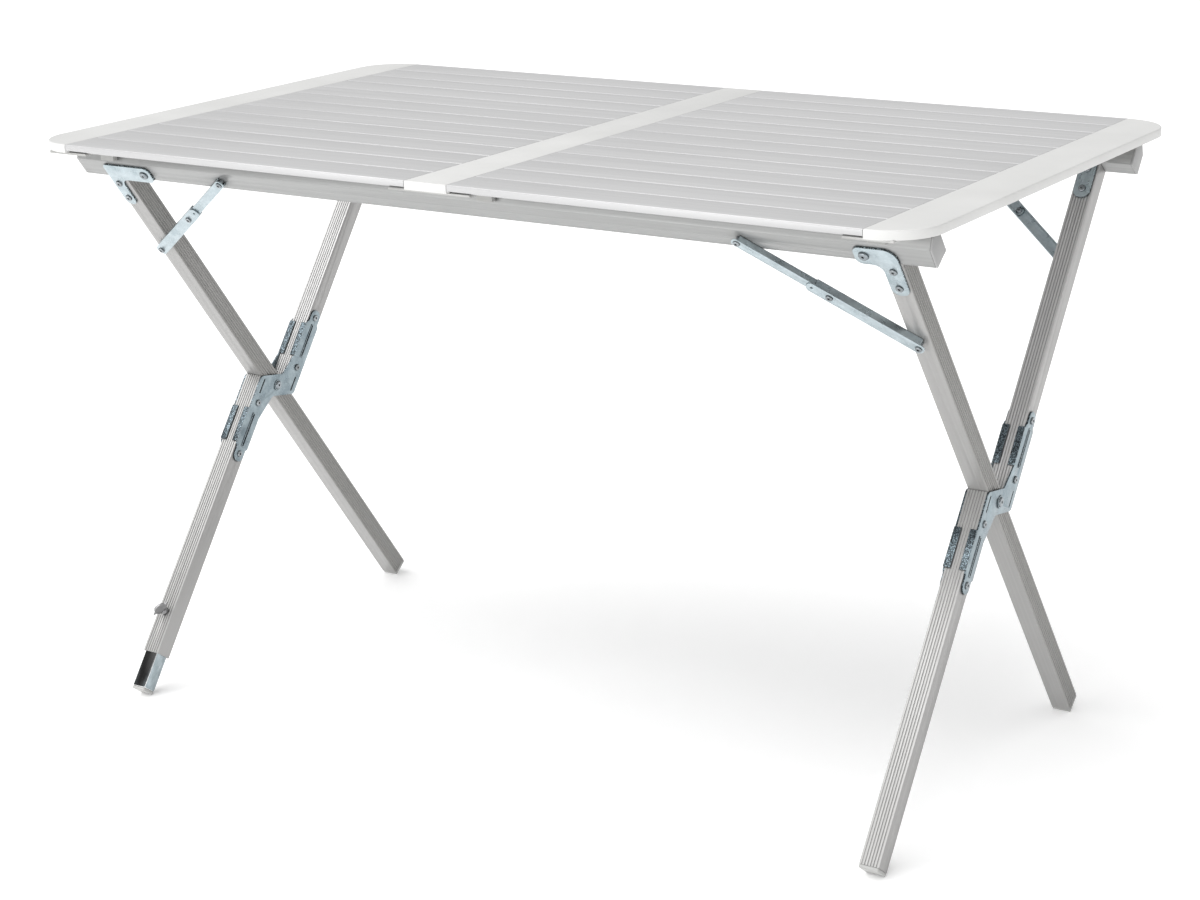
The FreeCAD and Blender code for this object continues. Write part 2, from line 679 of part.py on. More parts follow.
def bracket_holes(body, frame, hand, offset):
    rivets = new_sketch(body, "XY_Plane", offset)
    circles(rivets, leg_rivet_spots(frame, offset, hand), "Dims.rivet_size")
    pocket(body, rivets, centred=True)
    joint = new_sketch(body, "XY_Plane", offset)
    circles(joint, [brace_leg_spot(frame, offset, hand)], "Dims.rivet_size")
    pocket(body, joint, backwards=True)


def side_holes(body, spots, diameter):
    """Holes along the table through a leg's two sides."""
    sketch = new_sketch(body, "YZ_Plane")
    circles(sketch, spots, diameter)
    pocket(body, sketch, centred=True)


def foot_line(offset):
    """Where a foot's lowest edge meets the floor, as a distance up the legs."""
    return along_at("0", "%s + %s" % (offset, HALF_DEEP))


def foot_cap(label, frame, hand, offset):
    """A plastic cap: its head is as wide as the tube and its core fills the tube's end."""
    body = new_body(label, frame)
    across = local_x(frame, hand, "Dims.leg_centre")
    floor_end = foot_line(offset)
    head = new_sketch(body, "XZ_Plane", "-(%s + Dims.cap_head)" % floor_end)
    box_outline(head, across, offset, "Dims.leg_wide", "Dims.leg_deep")
    pad(body, head, "Dims.cap_head")
    core_top = "(%s + Dims.cap_head + Dims.plug_depth)" % floor_end
    core = new_sketch(body, "XZ_Plane", "-" + core_top)
    slack = "2 * (Dims.leg_wall + Dims.cap_slack)"
    box_outline(core, across, offset, "Dims.leg_wide - %s" % slack, "Dims.leg_deep - %s" % slack)
    pad(body, core, "Dims.plug_depth")


def long_leg(hand):
    """The one-piece leg from the front rail down to the rear foot."""
    low = "(%s + Dims.cap_head)" % foot_line(FRONT_OFFSET)
    high = rail_edge(FRONT_OFFSET)
    body = leg_tube("long_leg_" + HAND_NAME[hand], FRONT, hand, FRONT_OFFSET, low, high)
    flutes(body, FRONT, hand, FRONT_OFFSET, high, on_sides=True)
    bracket_holes(body, FRONT, hand, FRONT_OFFSET)
    side_holes(body, [("0", "0")], "Dims.pin_size + 2 * Dims.pin_slack")
    foot_cap("foot_cap_long_" + HAND_NAME[hand], FRONT, hand, FRONT_OFFSET)


def cross_rivet_spots(half):
    """Rivets of the upper (1) or lower (-1) half of the split leg."""
    out = "%d * %s" % (half, NEST)
    near = ("%d * Dims.cross_rivet_near" % half, out)
    far = ("%d * Dims.cross_rivet_far" % half, out)
    return [near, far]


def stop_line(half, out):
    """Where a half's slanted end crosses a given distance off the split pair's plane.

    In the split pair's frame the long leg runs along (-cos 2a, -sin 2a) for a slope a. Its
    face lies half a tube from the crossing pin, and the half's end the stop gap beyond it."""
    tilt = "(cos(2 * Dims.leg_lean) / sin(2 * Dims.leg_lean))"
    start = "(%s + Dims.stop_gap) / sin(2 * Dims.leg_lean)" % HALF_DEEP
    return "%d * (%s + (%s) * %s)" % (half, start, out, tilt)


def slanted_stop(body, half):
    """Cut the half's end along the long leg, which bears on it when the frame stands open."""
    close = "(%s - %s - Dims.leg_wall)" % (NEST, HALF_DEEP)
    beyond = "(%s + %s + Dims.leg_wall)" % (NEST, HALF_DEEP)
    behind = "%d * -2 * Dims.leg_deep" % half
    corners = [
        (stop_line(half, close), "%d * %s" % (half, close)),
        (stop_line(half, beyond), "%d * %s" % (half, beyond)),
        (behind, "%d * %s" % (half, beyond)),
        (behind, "%d * %s" % (half, close)),
    ]
    sketch = new_sketch(body, "YZ_Plane")
    outline(sketch, corners)
    pocket(body, sketch, centred=True)


def split_leg(hand):
    """The rear rail's leg in two halves, so that the long leg passes between them."""
    name = HAND_NAME[hand]
    inner_end = "Dims.leg_deep"
    high = rail_edge(REAR_OFFSET)
    upper = leg_tube("split_leg_upper_" + name, REAR, hand, NEST, "-" + inner_end, high)
    flutes(upper, REAR, hand, NEST, high, on_sides=False)
    slanted_stop(upper, 1)
    bracket_holes(upper, REAR, hand, NEST)
    side_holes(upper, cross_rivet_spots(1), "Dims.rivet_size")
    offset = "-" + NEST
    if hand == RIGHT:
        low = "(%s + Dims.cap_head)" % foot_line(offset)
        foot_cap("foot_cap_split_right", REAR, hand, offset)
    else:
        low = "(%s + Dims.foot_show)" % slide_foot_line()
    lower = leg_tube("split_leg_lower_" + name, REAR, hand, offset, low, inner_end)
    flutes(lower, REAR, hand, offset, inner_end, on_sides=False)
    slanted_stop(lower, -1)
    side_holes(lower, cross_rivet_spots(-1), "Dims.rivet_size")
    if hand == LEFT:
        hole = new_sketch(lower, "XY_Plane", offset)
        circles(hole, [screw_spot()], "Dims.screw_size + 2 * Dims.screw_slack")
        pocket(lower, hole)


# ---- Adjustable foot ----

def slide_foot_line():
    return along_at("0", "-%s + %s / 2" % (NEST, FOOT_DEEP))


def screw_spot():
    across = local_x(REAR, LEFT, "Dims.leg_centre")
    return (across, "%s + Dims.foot_show + Dims.screw_up" % slide_foot_line())


def adjustable_foot():
    across = local_x(REAR, LEFT, "Dims.leg_centre")
    offset = "-" + NEST
    floor_end = slide_foot_line()
    inner_wide = "%s - 2 * Dims.foot_wall" % FOOT_WIDE
    inner_deep = "%s - 2 * Dims.foot_wall" % FOOT_DEEP
    tube = new_body("slide_foot_tube", REAR)
    high = "(%s + Dims.foot_show + Dims.foot_grip)" % floor_end
    sketch = new_sketch(tube, "XZ_Plane", "-" + high)
    box_outline(sketch, across, offset, FOOT_WIDE, FOOT_DEEP)
    box_outline(sketch, across, offset, inner_wide, inner_deep)
    pad(tube, sketch, "Dims.foot_show + Dims.foot_grip - Dims.cap_head")
    cap = new_body("slide_foot_cap", REAR)
    head = new_sketch(cap, "XZ_Plane", "-(%s + Dims.cap_head)" % floor_end)
    box_outline(head, across, offset, FOOT_WIDE, FOOT_DEEP)
    pad(cap, head, "Dims.cap_head")
    core = new_sketch(cap, "XZ_Plane", "-(%s + Dims.cap_head + Dims.plug_depth)" % floor_end)
    slack = "2 * Dims.cap_slack"
    core_wide = "%s - %s" % (inner_wide, slack)
    core_deep = "%s - %s" % (inner_deep, slack)
    box_outline(core, across, offset, core_wide, core_deep)
    pad(cap, core, "Dims.plug_depth")


def wing_screw():
    """Thumbscrew on the lower half's upper face: its tip stands just clear of the foot's tube."""
    across, along = screw_spot()
    tip = "(-%s - %s / 2 - Dims.slide_gap)" % (NEST, FOOT_DEEP)
    face = "(-%s - %s)" % (NEST, HALF_DEEP)
    collar_top = "(%s - Dims.rest_gap - Dims.collar_long)" % face
    shank = doc.addObject("Part::Cylinder", "screw_shank")
    shank.setExpression("Radius", "Dims.screw_size / 2")
    shank.setExpression("Height", "%s - %s" % (tip, collar_top))
    shank.setExpression("Placement.Base.z", collar_top)
    collar = doc.addObject("Part::Cylinder", "screw_collar")
    collar.setExpression("Radius", "Dims.collar_size / 2")
    collar.setExpression("Height", "Dims.collar_long")
    collar.setExpression("Placement.Base.z", collar_top)
    wing = doc.addObject("Part::Cylinder", "screw_wing")
    wing.setExpression("Radius", "Dims.wing_size / 2")
    wing.setExpression("Height", "Dims.wing_thick")
    centre_low = "%s - Dims.wing_size * %g" % (collar_top, WING_SHARE)
    centre = "vector(-Dims.wing_thick / 2; 0; %s)" % centre_low
    wing.setExpression("Placement", "placement(%s; rotation(vector(0; 1; 0); 90))" % centre)
    whole = doc.addObject("Part::MultiFuse", "wing_screw")
    whole.Label = "wing_screw"
    whole.Shapes = [shank, collar, wing]
    turned = "rotation(vector(0; 0; 1); Dims.wing_turn)"
    spot = "placement(vector(%s; %s; 0); %s)" % (across, along, turned)
    whole.setExpression("Placement", "%s * %s" % (REAR, spot))
    nodes.append(whole)


# ---- Brackets between the legs and the rails ----

def bracket(name, frame, offset, hand, inside):
    """An L-shaped plate in the leg pair's plane, one outside and one inside."""
    layer = "inner" if inside else "outer"
    body = new_body("bracket_%s_%s_%s" % (layer, name, HAND_NAME[hand]), frame)
    if inside:
        base = "%s - %s - Dims.bracket_thick" % (offset, HALF_DEEP)
    else:
        base = "%s + %s" % (offset, HALF_DEEP)
    leg_outer = "(Dims.leg_centre + %s)" % HALF_WIDE
    arm = "Dims.bracket_wide" if hand == RIGHT else "Dims.bracket_slim"
    if hand == RIGHT:
        leg_outer = "(Dims.leg_centre + Dims.bracket_wide / 2)"
    leg_inner = "(%s - %s)" % (leg_outer, arm)
    rail_end = "(Dims.leg_centre - %s - Dims.pivot_head)" % bracket_reach(hand)
    edge = rail_edge(offset)
    if inside:
        flat_start = along_at(RAIL_TOP, "%s - %s" % (offset, HALF_DEEP))
        high = "%s - Dims.bracket_under" % flat_start
    else:
        high = "%s + Dims.bracket_high" % edge
    low = "%s - Dims.bracket_low" % edge
    foot = "%s - Dims.bracket_drop" % edge

    def spot(across, along):
        return (local_x(frame, hand, across), along)

    shoulder = spot(leg_outer, high)
    elbow = spot(leg_inner, low)
    tips = [spot(leg_outer, foot), spot(leg_inner, foot)]
    rail_tips = [spot(rail_end, low), spot(rail_end, high)]
    sketch = new_sketch(body, "XY_Plane", base)
    outline(sketch, [shoulder] + tips + [elbow] + rail_tips)
    pad(body, sketch, "Dims.bracket_thick")
    shoulder_round = "Dims.shoulder_short" if hand == RIGHT else "Dims.shoulder_long"
    round_edges(body, shoulder_round, upright([shoulder]))
    round_edges(body, "Dims.bracket_elbow", upright([elbow]))
    round_edges(body, "Dims.bracket_round", upright(rail_tips))
    round_edges(body, "%s * %g" % (arm, TIP_SHARE), upright(tips))
    holes = new_sketch(body, "XY_Plane", base)
    circles(holes, leg_rivet_spots(frame, offset, hand), "Dims.rivet_size")
    circles(holes, [pivot_spot(frame, offset, hand)], "Dims.pivot_size")
    pocket(body, holes, backwards=True)


def bracket_fasteners(name, frame, offset):
    inner = "(%s - %s - Dims.bracket_thick)" % (offset, HALF_DEEP)
    outer = "(%s + %s + Dims.bracket_thick)" % (offset, HALF_DEEP)
    rivets = []
    for hand in (LEFT, RIGHT):
        rivets += leg_rivet_spots(frame, offset, hand)
    studs("bracket_rivets_" + name, frame, "XY_Plane", [(rivets, inner, outer)],
          "Dims.rivet_size", "Dims.rivet_head", "Dims.rivet_dome")
    pivots = [pivot_spot(frame, offset, hand) for hand in (LEFT, RIGHT)]
    studs("bracket_pivots_" + name, frame, "XY_Plane", [(pivots, inner, outer)],
          "Dims.pivot_size", "Dims.pivot_head", "Dims.pivot_dome")


# ---- Knee braces ----

UPPER_WEB_TOP = "(Dims.brace_stand + Dims.brace_sheet)"
LOWER_WEB_LOW = "(%s + Dims.brace_slack)" % UPPER_WEB_TOP
LOWER_WEB_TOP = "(%s + Dims.brace_sheet)" % LOWER_WEB_LOW
LOWER_WIDE = "(Dims.brace_slim + 2 * Dims.brace_slack + 2 * Dims.brace_sheet)"


def brace_frame(frame, offset, hand):
    """A frame at the brace's rail pivot with x along the brace and z off the rail's face."""
    start = brace_rail_spot(frame, offset, hand)
    finish = brace_leg_spot(frame, offset, hand)
    rise = "%s - (%s)" % (finish[1], start[1])
    run = "%s - (%s)" % (finish[0], start[0])
    spot = "vector(%s; %s; %s + %s)" % (start[0], start[1], offset, HALF_DEEP)
    turn = "rotation(vector(0; 0; 1); atan2(%s; %s))" % (rise, run)
    brace_long = "sqrt((%s) ^ 2 + (%s) ^ 2)" % (rise, run)
    return "%s * placement(%s; %s)" % (frame, spot, turn), brace_long


def channel_link(label, frame, start, finish, wide, web_low, holes):
    """A sheet channel: a web with rounded ends and two flanges towards the frame."""
    body = new_body(label, frame)
    half = "(%s / 2)" % wide
    corners = [(start, "-" + half), (finish, "-" + half), (finish, half), (start, half)]
    web = new_sketch(body, "XY_Plane", web_low)
    outline(web, corners)
    pad(body, web, "Dims.brace_sheet")
    round_edges(body, "%s * %g" % (wide, TIP_SHARE), upright(corners))
    flange_long = "(%s) - (%s) - %s" % (finish, start, wide)
    flange_start = "%s + %s" % (start, half)
    sides = new_sketch(body, "YZ_Plane", flange_start)
    middle = "(%s - Dims.brace_sheet / 2)" % half
    for side in (-1, 1):
        box_outline(sides, "%d * %s" % (side, middle), "%s / 2" % web_low, "Dims.brace_sheet",
                    web_low)
    pad(body, sides, flange_long)
    for spots, diameter in holes:
        sketch = new_sketch(body, "XY_Plane", web_low)
        circles(sketch, spots, diameter)
        pocket(body, sketch, backwards=True)


def brace(name, frame, offset, hand):
    own_frame, brace_long = brace_frame(frame, offset, hand)
    knee = "(%s * Dims.knee_share)" % brace_long
    tail = "%s_%s" % (name, HAND_NAME[hand])
    channel_link("brace_upper_" + tail, own_frame, "-Dims.brace_end",
                 "%s + Dims.brace_end" % knee, "Dims.brace_slim", "Dims.brace_stand",
                 [([("0", "0"), (knee, "0")], "Dims.rivet_size")])
    eye = "%s - Dims.knee_eye" % knee
    channel_link("brace_lower_" + tail, own_frame, "%s - Dims.knee_over" % knee,
                 "%s + Dims.brace_end" % brace_long, LOWER_WIDE, LOWER_WEB_LOW,
                 [([(knee, "0"), (brace_long, "0")], "Dims.rivet_size"),
                  ([(eye, "0")], "Dims.eye_size")])


def brace_rivets(name, frame, offset):
    face = "(%s + %s)" % (offset, HALF_DEEP)
    hands = (LEFT, RIGHT)
    rail_ends = [brace_rail_spot(frame, offset, hand) for hand in hands]
    leg_ends = [brace_leg_spot(frame, offset, hand) for hand in hands]
    knees = [knee_spot(frame, offset, hand) for hand in hands]
    stacks = [
        (rail_ends, "%s - Dims.rail_wall" % face, "%s + %s" % (face, UPPER_WEB_TOP)),
        (leg_ends, "%s - Dims.leg_wall" % face, "%s + %s" % (face, LOWER_WEB_TOP)),
        (knees, "%s + Dims.brace_stand" % face, "%s + %s" % (face, LOWER_WEB_TOP)),
    ]
    studs("brace_rivets_" + name, frame, "XY_Plane", stacks,
          "Dims.rivet_size", BRACE_HEAD, "Dims.rivet_dome")


# ---- Crossing plates and pins ----

def plate_outline():
    """A Z-shaped plate: one arm along each half of the split leg, the same turned half round."""
    near = "(%s - %s)" % (NEST, HALF_DEEP)
    far = "(%s + %s)" % (NEST, HALF_DEEP)
    tip_low = "(%s - Dims.plate_tip / 2)" % NEST
    tip_high = "(%s + Dims.plate_tip / 2)" % NEST
    tip_start = "(Dims.tab_far + Dims.tip_step)"
    half_turn = [
        ("Dims.plate_waist", "Dims.waist_out"),
        ("Dims.plate_flare", near),
        (tip_start, near),
        ("(%s + Dims.tip_step)" % tip_start, tip_low),
        ("Dims.plate_reach", tip_low),
        ("Dims.plate_reach", tip_high),
        ("(%s + Dims.tip_step)" % tip_start, tip_high),
        (tip_start, far),
        ("Dims.plate_corner", far),
    ]
    other = [("-%s" % along, "-%s" % out) for along, out in half_turn]
    return half_turn + other


def crossing_plate(hand, inside):
    layer = "inner" if inside else "outer"
    body = new_body("cross_plate_%s_%s" % (layer, HAND_NAME[hand]), REAR)
    turn = -hand
    away = -turn if inside else turn
    leg_face = "(%d * Dims.leg_centre + %d * %s)" % (turn, away, HALF_WIDE)
    start = leg_face if away > 0 else "(%s - Dims.plate_thick)" % leg_face
    corners = plate_outline()
    sketch = new_sketch(body, "YZ_Plane", start)
    outline(sketch, corners)
    pad(body, sketch, "Dims.plate_thick")
    half_count = len(corners) // 2
    outside_corners = [corners[half_count - 1], corners[-1]]
    waists = [corners[0], corners[half_count]]
    tips = [corners[4], corners[5], corners[half_count + 4], corners[half_count + 5]]
    round_edges(body, "Dims.plate_round", upright_x(outside_corners))
    round_edges(body, "Dims.plate_round", upright_x(waists))
    round_edges(body, "Dims.plate_tip * %g" % TIP_SHARE, upright_x(tips))
    wrap_tabs(body, leg_face, away)
    plate_cuts(body, leg_face, away)


def wrap_tabs(body, leg_face, away):
    """One tab on each arm wraps over the leg's front face."""
    tab_wide = "(Dims.plate_thick + Dims.tab_reach)"
    if away > 0:
        start = "(%s - Dims.tab_reach)" % leg_face
    else:
        start = "(%s - Dims.plate_thick)" % leg_face
    for half in (-1, 1):
        face = "(%d * %s - %s)" % (half, NEST, HALF_DEEP)
        near = "%d * Dims.tab_near" % half
        far = "%d * Dims.tab_far" % half
        under = "%s - Dims.tab_thick" % face
        sketch = new_sketch(body, "YZ_Plane", start)
        outline(sketch, [(near, under), (far, under), (far, face), (near, face)])
        pad(body, sketch, tab_wide)


def plate_cuts(body, leg_face, away):
    """Rivet and pin holes, the slots, and the relief that clears the long leg."""
    holes = new_sketch(body, "YZ_Plane", leg_face)
    circles(holes, cross_rivet_spots(1) + cross_rivet_spots(-1), "Dims.rivet_size")
    circles(holes, [("0", "0")], "Dims.pin_size")
    for half in (-1, 1):
        slot_middle = "%d * (Dims.slot_near + Dims.slot_far) / 2" % half
        slot_long = "Dims.slot_far - Dims.slot_near"
        box_outline(holes, slot_middle, "%d * %s" % (half, NEST), slot_long, "Dims.slot_wide")
        notch_middle = "%d * (Dims.notch_near + Dims.notch_far) / 2" % half
        notch_long = "Dims.notch_far - Dims.notch_near"
        notch_middle_out = "%d * (%s + Dims.notch_out)" % (half, NEST)
        box_outline(holes, notch_middle, notch_middle_out, notch_long, "Dims.slot_wide")
    pocket(body, holes, "Dims.plate_thick", backwards=away > 0)
    clear = "(%s + Dims.nest_gap / 2)" % HALF_DEEP
    strip = new_sketch(body, "YZ_Plane", leg_face)
    box_outline(strip, "0", "0", "2 * Dims.plate_flare", "2 * %s" % clear)
    pocket(body, strip, "Dims.plate_relief", backwards=away > 0)
    between = new_sketch(body, "YZ_Plane", leg_face)
    far = "(%s + %s + Dims.leg_wall)" % (NEST, HALF_DEEP)
    outline(between, [
        (stop_line(1, far), far),
        (stop_line(1, "-" + far), "-" + far),
        (stop_line(-1, far), "-" + far),
        (stop_line(-1, "-" + far), far),
    ])
    pocket(body, between, "Dims.plate_relief", backwards=away > 0)


def crossing_fasteners():
    rivet_spots = cross_rivet_spots(1) + cross_rivet_spots(-1)
    stacks = []
    pins = []
    for turn in (-1, 1):
        low = "(%d * Dims.leg_centre - %s - Dims.plate_thick)" % (turn, HALF_WIDE)
        high = "(%d * Dims.leg_centre + %s + Dims.plate_thick)" % (turn, HALF_WIDE)
        stacks.append((rivet_spots, low, high))
        pins.append(([("0", "0")], low, high))
    studs("cross_rivets", REAR, "YZ_Plane", stacks,
          "Dims.rivet_size", "Dims.rivet_head", "Dims.rivet_dome")
    studs("cross_pins", REAR, "YZ_Plane", pins,
          "Dims.pin_size", "Dims.pivot_head", "Dims.pivot_dome")


# ---- The whole table ----

def leg_pair(name, frame, offset):
    rail(name, frame, offset)
    for hand in (LEFT, RIGHT):
        rail_plug(name, frame, offset, hand)
        bracket(name, frame, offset, hand, inside=False)
        bracket(name, frame, offset, hand, inside=True)
        brace(name, frame, offset, hand)
    bracket_fasteners(name, frame, offset)
    brace_rivets(name, frame, offset)


def check(objects):
    for item in objects:
        if "Invalid" in item.State or "Error" in item.State:
            raise RuntimeError("%s failed: %s" % (item.Label, item.State))


centre_board()
ledges()
rail_hooks()
leg_pair("front", FRONT, FRONT_OFFSET)
leg_pair("rear", REAR, REAR_OFFSET)
for side in (LEFT, RIGHT):
    end_board(side)
    edge_slats(side)
    inner_slats(side)
    long_leg(side)
    split_leg(side)
    crossing_plate(side, inside=False)
    crossing_plate(side, inside=True)
crossing_fasteners()
adjustable_foot()
wing_screw()

doc.recompute()
check(doc.Objects)
os.makedirs("parts", exist_ok=True)
for node in nodes:
    if node.Shape.isNull() or not node.Shape.isValid():
        raise RuntimeError(node.Label + " has no valid shape")
    node.Shape.exportStep(os.path.join("parts", node.Label + ".step"))
print("%d nodes written" % len(nodes))
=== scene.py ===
import json
import math
import bmesh
import bpy
from mathutils import Matrix, Vector


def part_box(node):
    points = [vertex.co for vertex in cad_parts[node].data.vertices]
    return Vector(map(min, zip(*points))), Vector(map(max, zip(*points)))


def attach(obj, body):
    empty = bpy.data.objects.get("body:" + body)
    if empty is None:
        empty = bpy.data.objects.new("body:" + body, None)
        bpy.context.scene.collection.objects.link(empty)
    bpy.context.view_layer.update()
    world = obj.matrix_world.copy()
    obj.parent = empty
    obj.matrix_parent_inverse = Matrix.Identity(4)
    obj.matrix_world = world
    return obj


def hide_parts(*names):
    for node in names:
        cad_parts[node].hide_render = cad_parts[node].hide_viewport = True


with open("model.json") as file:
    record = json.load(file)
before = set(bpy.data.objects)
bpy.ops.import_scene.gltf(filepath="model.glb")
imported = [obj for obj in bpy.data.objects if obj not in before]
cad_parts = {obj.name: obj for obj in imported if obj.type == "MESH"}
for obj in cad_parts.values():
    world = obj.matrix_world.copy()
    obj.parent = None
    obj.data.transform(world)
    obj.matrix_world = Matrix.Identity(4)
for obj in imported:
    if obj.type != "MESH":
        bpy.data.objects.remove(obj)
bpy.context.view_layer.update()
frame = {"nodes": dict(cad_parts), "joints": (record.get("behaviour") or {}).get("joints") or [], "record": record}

# Folding picnic table in anodised aluminium, zinc-plated steel and moulded plastic.
# Metres. +X runs along the table, -Y is its front, +Z is up, and the floor is at zero.

MM = 0.001
BODY_OF = {node: body for body, members in frame["record"]["behaviour"]["bodies"].items()
           for node in members}
SLOT_OF = {part["node"]: part["material_slot"] for part in frame["record"]["subparts"]}
FOLD = [joint for joint in frame["joints"] if joint["name"] == "frame_fold"][0]
SCREW = [joint for joint in frame["joints"] if joint["name"] == "thumbscrew_turn"][0]
CROSSING = Vector(FOLD["pos_m"])
LEG_LEAN = math.radians(53)
ACROSS = (1.0, 0.0, 0.0)
# The directions that the bracket plates of the front and rear leg pairs lie square to.
FRONT_FLAT = (0.0, math.sin(LEG_LEAN), math.cos(LEG_LEAN))
REAR_FLAT = (0.0, -math.sin(LEG_LEAN), math.cos(LEG_LEAN))


# ---- Materials ----

class Recipe:
    """A material's node tree, with short calls for the nodes that the finishes share."""

    def __init__(self, name, lean=0.0):
        self.material = bpy.data.materials.new(name)
        self.material.use_nodes = True
        self.tree = self.material.node_tree
        self.shader = self.tree.nodes["Principled BSDF"]
        place = self.node("ShaderNodeTexCoord")
        turned = self.node("ShaderNodeMapping")
        turned.inputs["Rotation"].default_value = (lean, 0.0, 0.0)
        self.join(place.outputs["Object"], turned.inputs["Vector"])
        self.place = turned.outputs["Vector"]
        self.facing = place.outputs["Normal"]

    def node(self, kind, **settings):
        made = self.tree.nodes.new(kind)
        for setting, choice in settings.items():
            setattr(made, setting, choice)
        return made

    def join(self, start, end):
        self.tree.links.new(start, end)

    def stretched(self, scale):
        """Object coordinates scaled differently along each axis."""
        mapping = self.node("ShaderNodeMapping")
        mapping.inputs["Scale"].default_value = scale
        self.join(self.place, mapping.inputs["Vector"])
        return mapping.outputs["Vector"]

    def noise(self, scale, detail=3.0, roughness=0.55):
        texture = self.node("ShaderNodeTexNoise")
        texture.inputs["Scale"].default_value = 1.0
        texture.inputs["Detail"].default_value = detail
        texture.inputs["Roughness"].default_value = roughness
        self.join(self.stretched(scale), texture.inputs["Vector"])
        return texture.outputs["Fac"]

    def spread(self, value, low, high, start=0.3, end=0.7):
        """Maps a noise value on to a narrow range."""
        ranged = self.node("ShaderNodeMapRange")
        ranged.inputs["From Min"].default_value = start
        ranged.inputs["From Max"].default_value = end
        ranged.inputs["To Min"].default_value = low
        ranged.inputs["To Max"].default_value = high
        self.join(value, ranged.inputs["Value"])
        return ranged.outputs["Result"]

    def tint(self, value, dark, light):
        blend = self.node("ShaderNodeMix", data_type="RGBA")
        self.join(value, blend.inputs["Factor"])
        blend.inputs["A"].default_value = (*dark, 1.0)
        blend.inputs["B"].default_value = (*light, 1.0)
        return blend.outputs["Result"]

    def over(self, value, colour, light):
        """Blends a colour towards another where the value is high."""
        blend = self.node("ShaderNodeMix", data_type="RGBA")
        self.join(value, blend.inputs["Factor"])
        self.join(colour, blend.inputs["A"])
        blend.inputs["B"].default_value = (*light, 1.0)
        return blend.outputs["Result"]

    def either(self, value, low, high):
        """One colour where the value is low and another where it is high."""
        blend = self.node("ShaderNodeMix", data_type="RGBA")
        self.join(value, blend.inputs["Factor"])
        self.join(low, blend.inputs["A"])
        self.join(high, blend.inputs["B"])
        return blend.outputs["Result"]

    def worn_and_highlit_edge(self, radius, strength):
        """High along the piece's sharp edges, broken up by a fine noise: it lightens them for wear and for a
        painted highlight.
        """
        rounded = self.node("ShaderNodeBevel", samples=4)
        rounded.inputs["Radius"].default_value = radius
        true = self.node("ShaderNodeNewGeometry")
        across = self.node("ShaderNodeVectorMath", operation="DOT_PRODUCT")
        self.join(rounded.outputs["Normal"], across.inputs[0])
        self.join(true.outputs["Normal"], across.inputs[1])
        edge = self.spread(across.outputs["Value"], strength, 0.0, 0.80, 0.985)
        patchy = self.spread(self.noise((220, 220, 220), 2.0), 0.35, 1.0, 0.35, 0.6)
        return self.both(edge, patchy)

    def turned_from(self, axis, low=0.80, high=0.95):
        """High on the faces that look away from an axis, such as the cut edges of a sheet."""
        along = self.node("ShaderNodeVectorMath", operation="DOT_PRODUCT")
        along.inputs[1].default_value = axis
        self.join(self.facing, along.inputs[0])
        size = self.node("ShaderNodeMath", operation="ABSOLUTE")
        self.join(along.outputs["Value"], size.inputs[0])
        return self.spread(size.outputs["Value"], 1.0, 0.0, low, high)

    def painted_crevice_shade(self, depth, strength, low=0.25, high=0.85):
        """High in grooves and where another piece stands close, for painted shade there."""
        shelter = self.node("ShaderNodeAmbientOcclusion", samples=8)
        shelter.inputs["Distance"].default_value = depth
        return self.spread(shelter.outputs["AO"], strength, 0.0, low, high)

    def both(self, first, second):
        """High only where both values are high."""
        product = self.node("ShaderNodeMath", operation="MULTIPLY")
        self.join(first, product.inputs[0])
        self.join(second, product.inputs[1])
        return product.outputs["Value"]

    def bump(self, height, strength, distance, base=None):
        relief = self.node("ShaderNodeBump")
        relief.inputs["Strength"].default_value = strength
        relief.inputs["Distance"].default_value = distance
        self.join(height, relief.inputs["Height"])
        if base is not None:
            self.join(base, relief.inputs["Normal"])
        return relief.outputs["Normal"]

    def finish(self, colour, rough, normal, metallic, coat=0.0, specular=0.5):
        self.join(colour, self.shader.inputs["Base Color"])
        self.join(rough, self.shader.inputs["Roughness"])
        self.join(normal, self.shader.inputs["Normal"])
        self.shader.inputs["Metallic"].default_value = metallic
        self.shader.inputs["Coat Weight"].default_value = coat
        self.shader.inputs["Coat Roughness"].default_value = 0.25
        self.shader.inputs["Specular IOR Level"].default_value = specular
        return self.material


def anodised(name, dark, light, lean=None, side=None, painted_shade_strength=0.9):
    """Extruded aluminium, brushed along its length: along x, or along a leg where it leans. A side tone is painted
    shade: a darker tone for the faces that look along x."""
    recipe = Recipe(name, 0.0 if lean is None else lean)
    along_x = lean is None
    brush_scale = (5, 900, 900) if along_x else (900, 5, 900)
    draw_scale = (0.6, 260, 260) if along_x else (260, 0.6, 260)
    brush = recipe.noise(brush_scale, 2.0)
    draw = recipe.noise(draw_scale, 3.0)
    cloud = recipe.noise((7, 7, 7), 3.0)
    colour = recipe.tint(recipe.spread(draw, 0.0, 1.0), dark, light)
    # Painted shade: the faces that look along x take the darker side tone.
    if side is not None:
        away = recipe.turned_from(ACROSS, 0.3, 0.7)
        shade = recipe.tint(recipe.spread(draw, 0.0, 1.0), [tone * 0.93 for tone in side], side)
        colour = recipe.either(away, shade, colour)
    dull = [tone * 0.92 for tone in dark]
    colour = recipe.over(recipe.spread(cloud, 0.0, 0.3, 0.5, 0.75), colour, dull)
    # Sharp edges are lightened for wear and for a painted highlight.
    bright = [min(1.0, tone * 1.25) for tone in light]
    colour = recipe.over(recipe.worn_and_highlit_edge(0.5 * MM, 0.8), colour, bright)
    # Painted shade, near black, in grooves and where another piece stands close.
    painted_groove_shade = recipe.painted_crevice_shade(1.6 * MM, painted_shade_strength, 0.4, 0.97)
    colour = recipe.over(painted_groove_shade, colour, [tone * 0.2 for tone in dark])
    gloss = recipe.spread(brush, 0.34, 0.46)
    normal = recipe.bump(brush, 0.06, 0.04 * MM)
    normal = recipe.bump(draw, 0.08, 0.06 * MM, normal)
    return recipe.finish(colour, gloss, normal, 0.55)


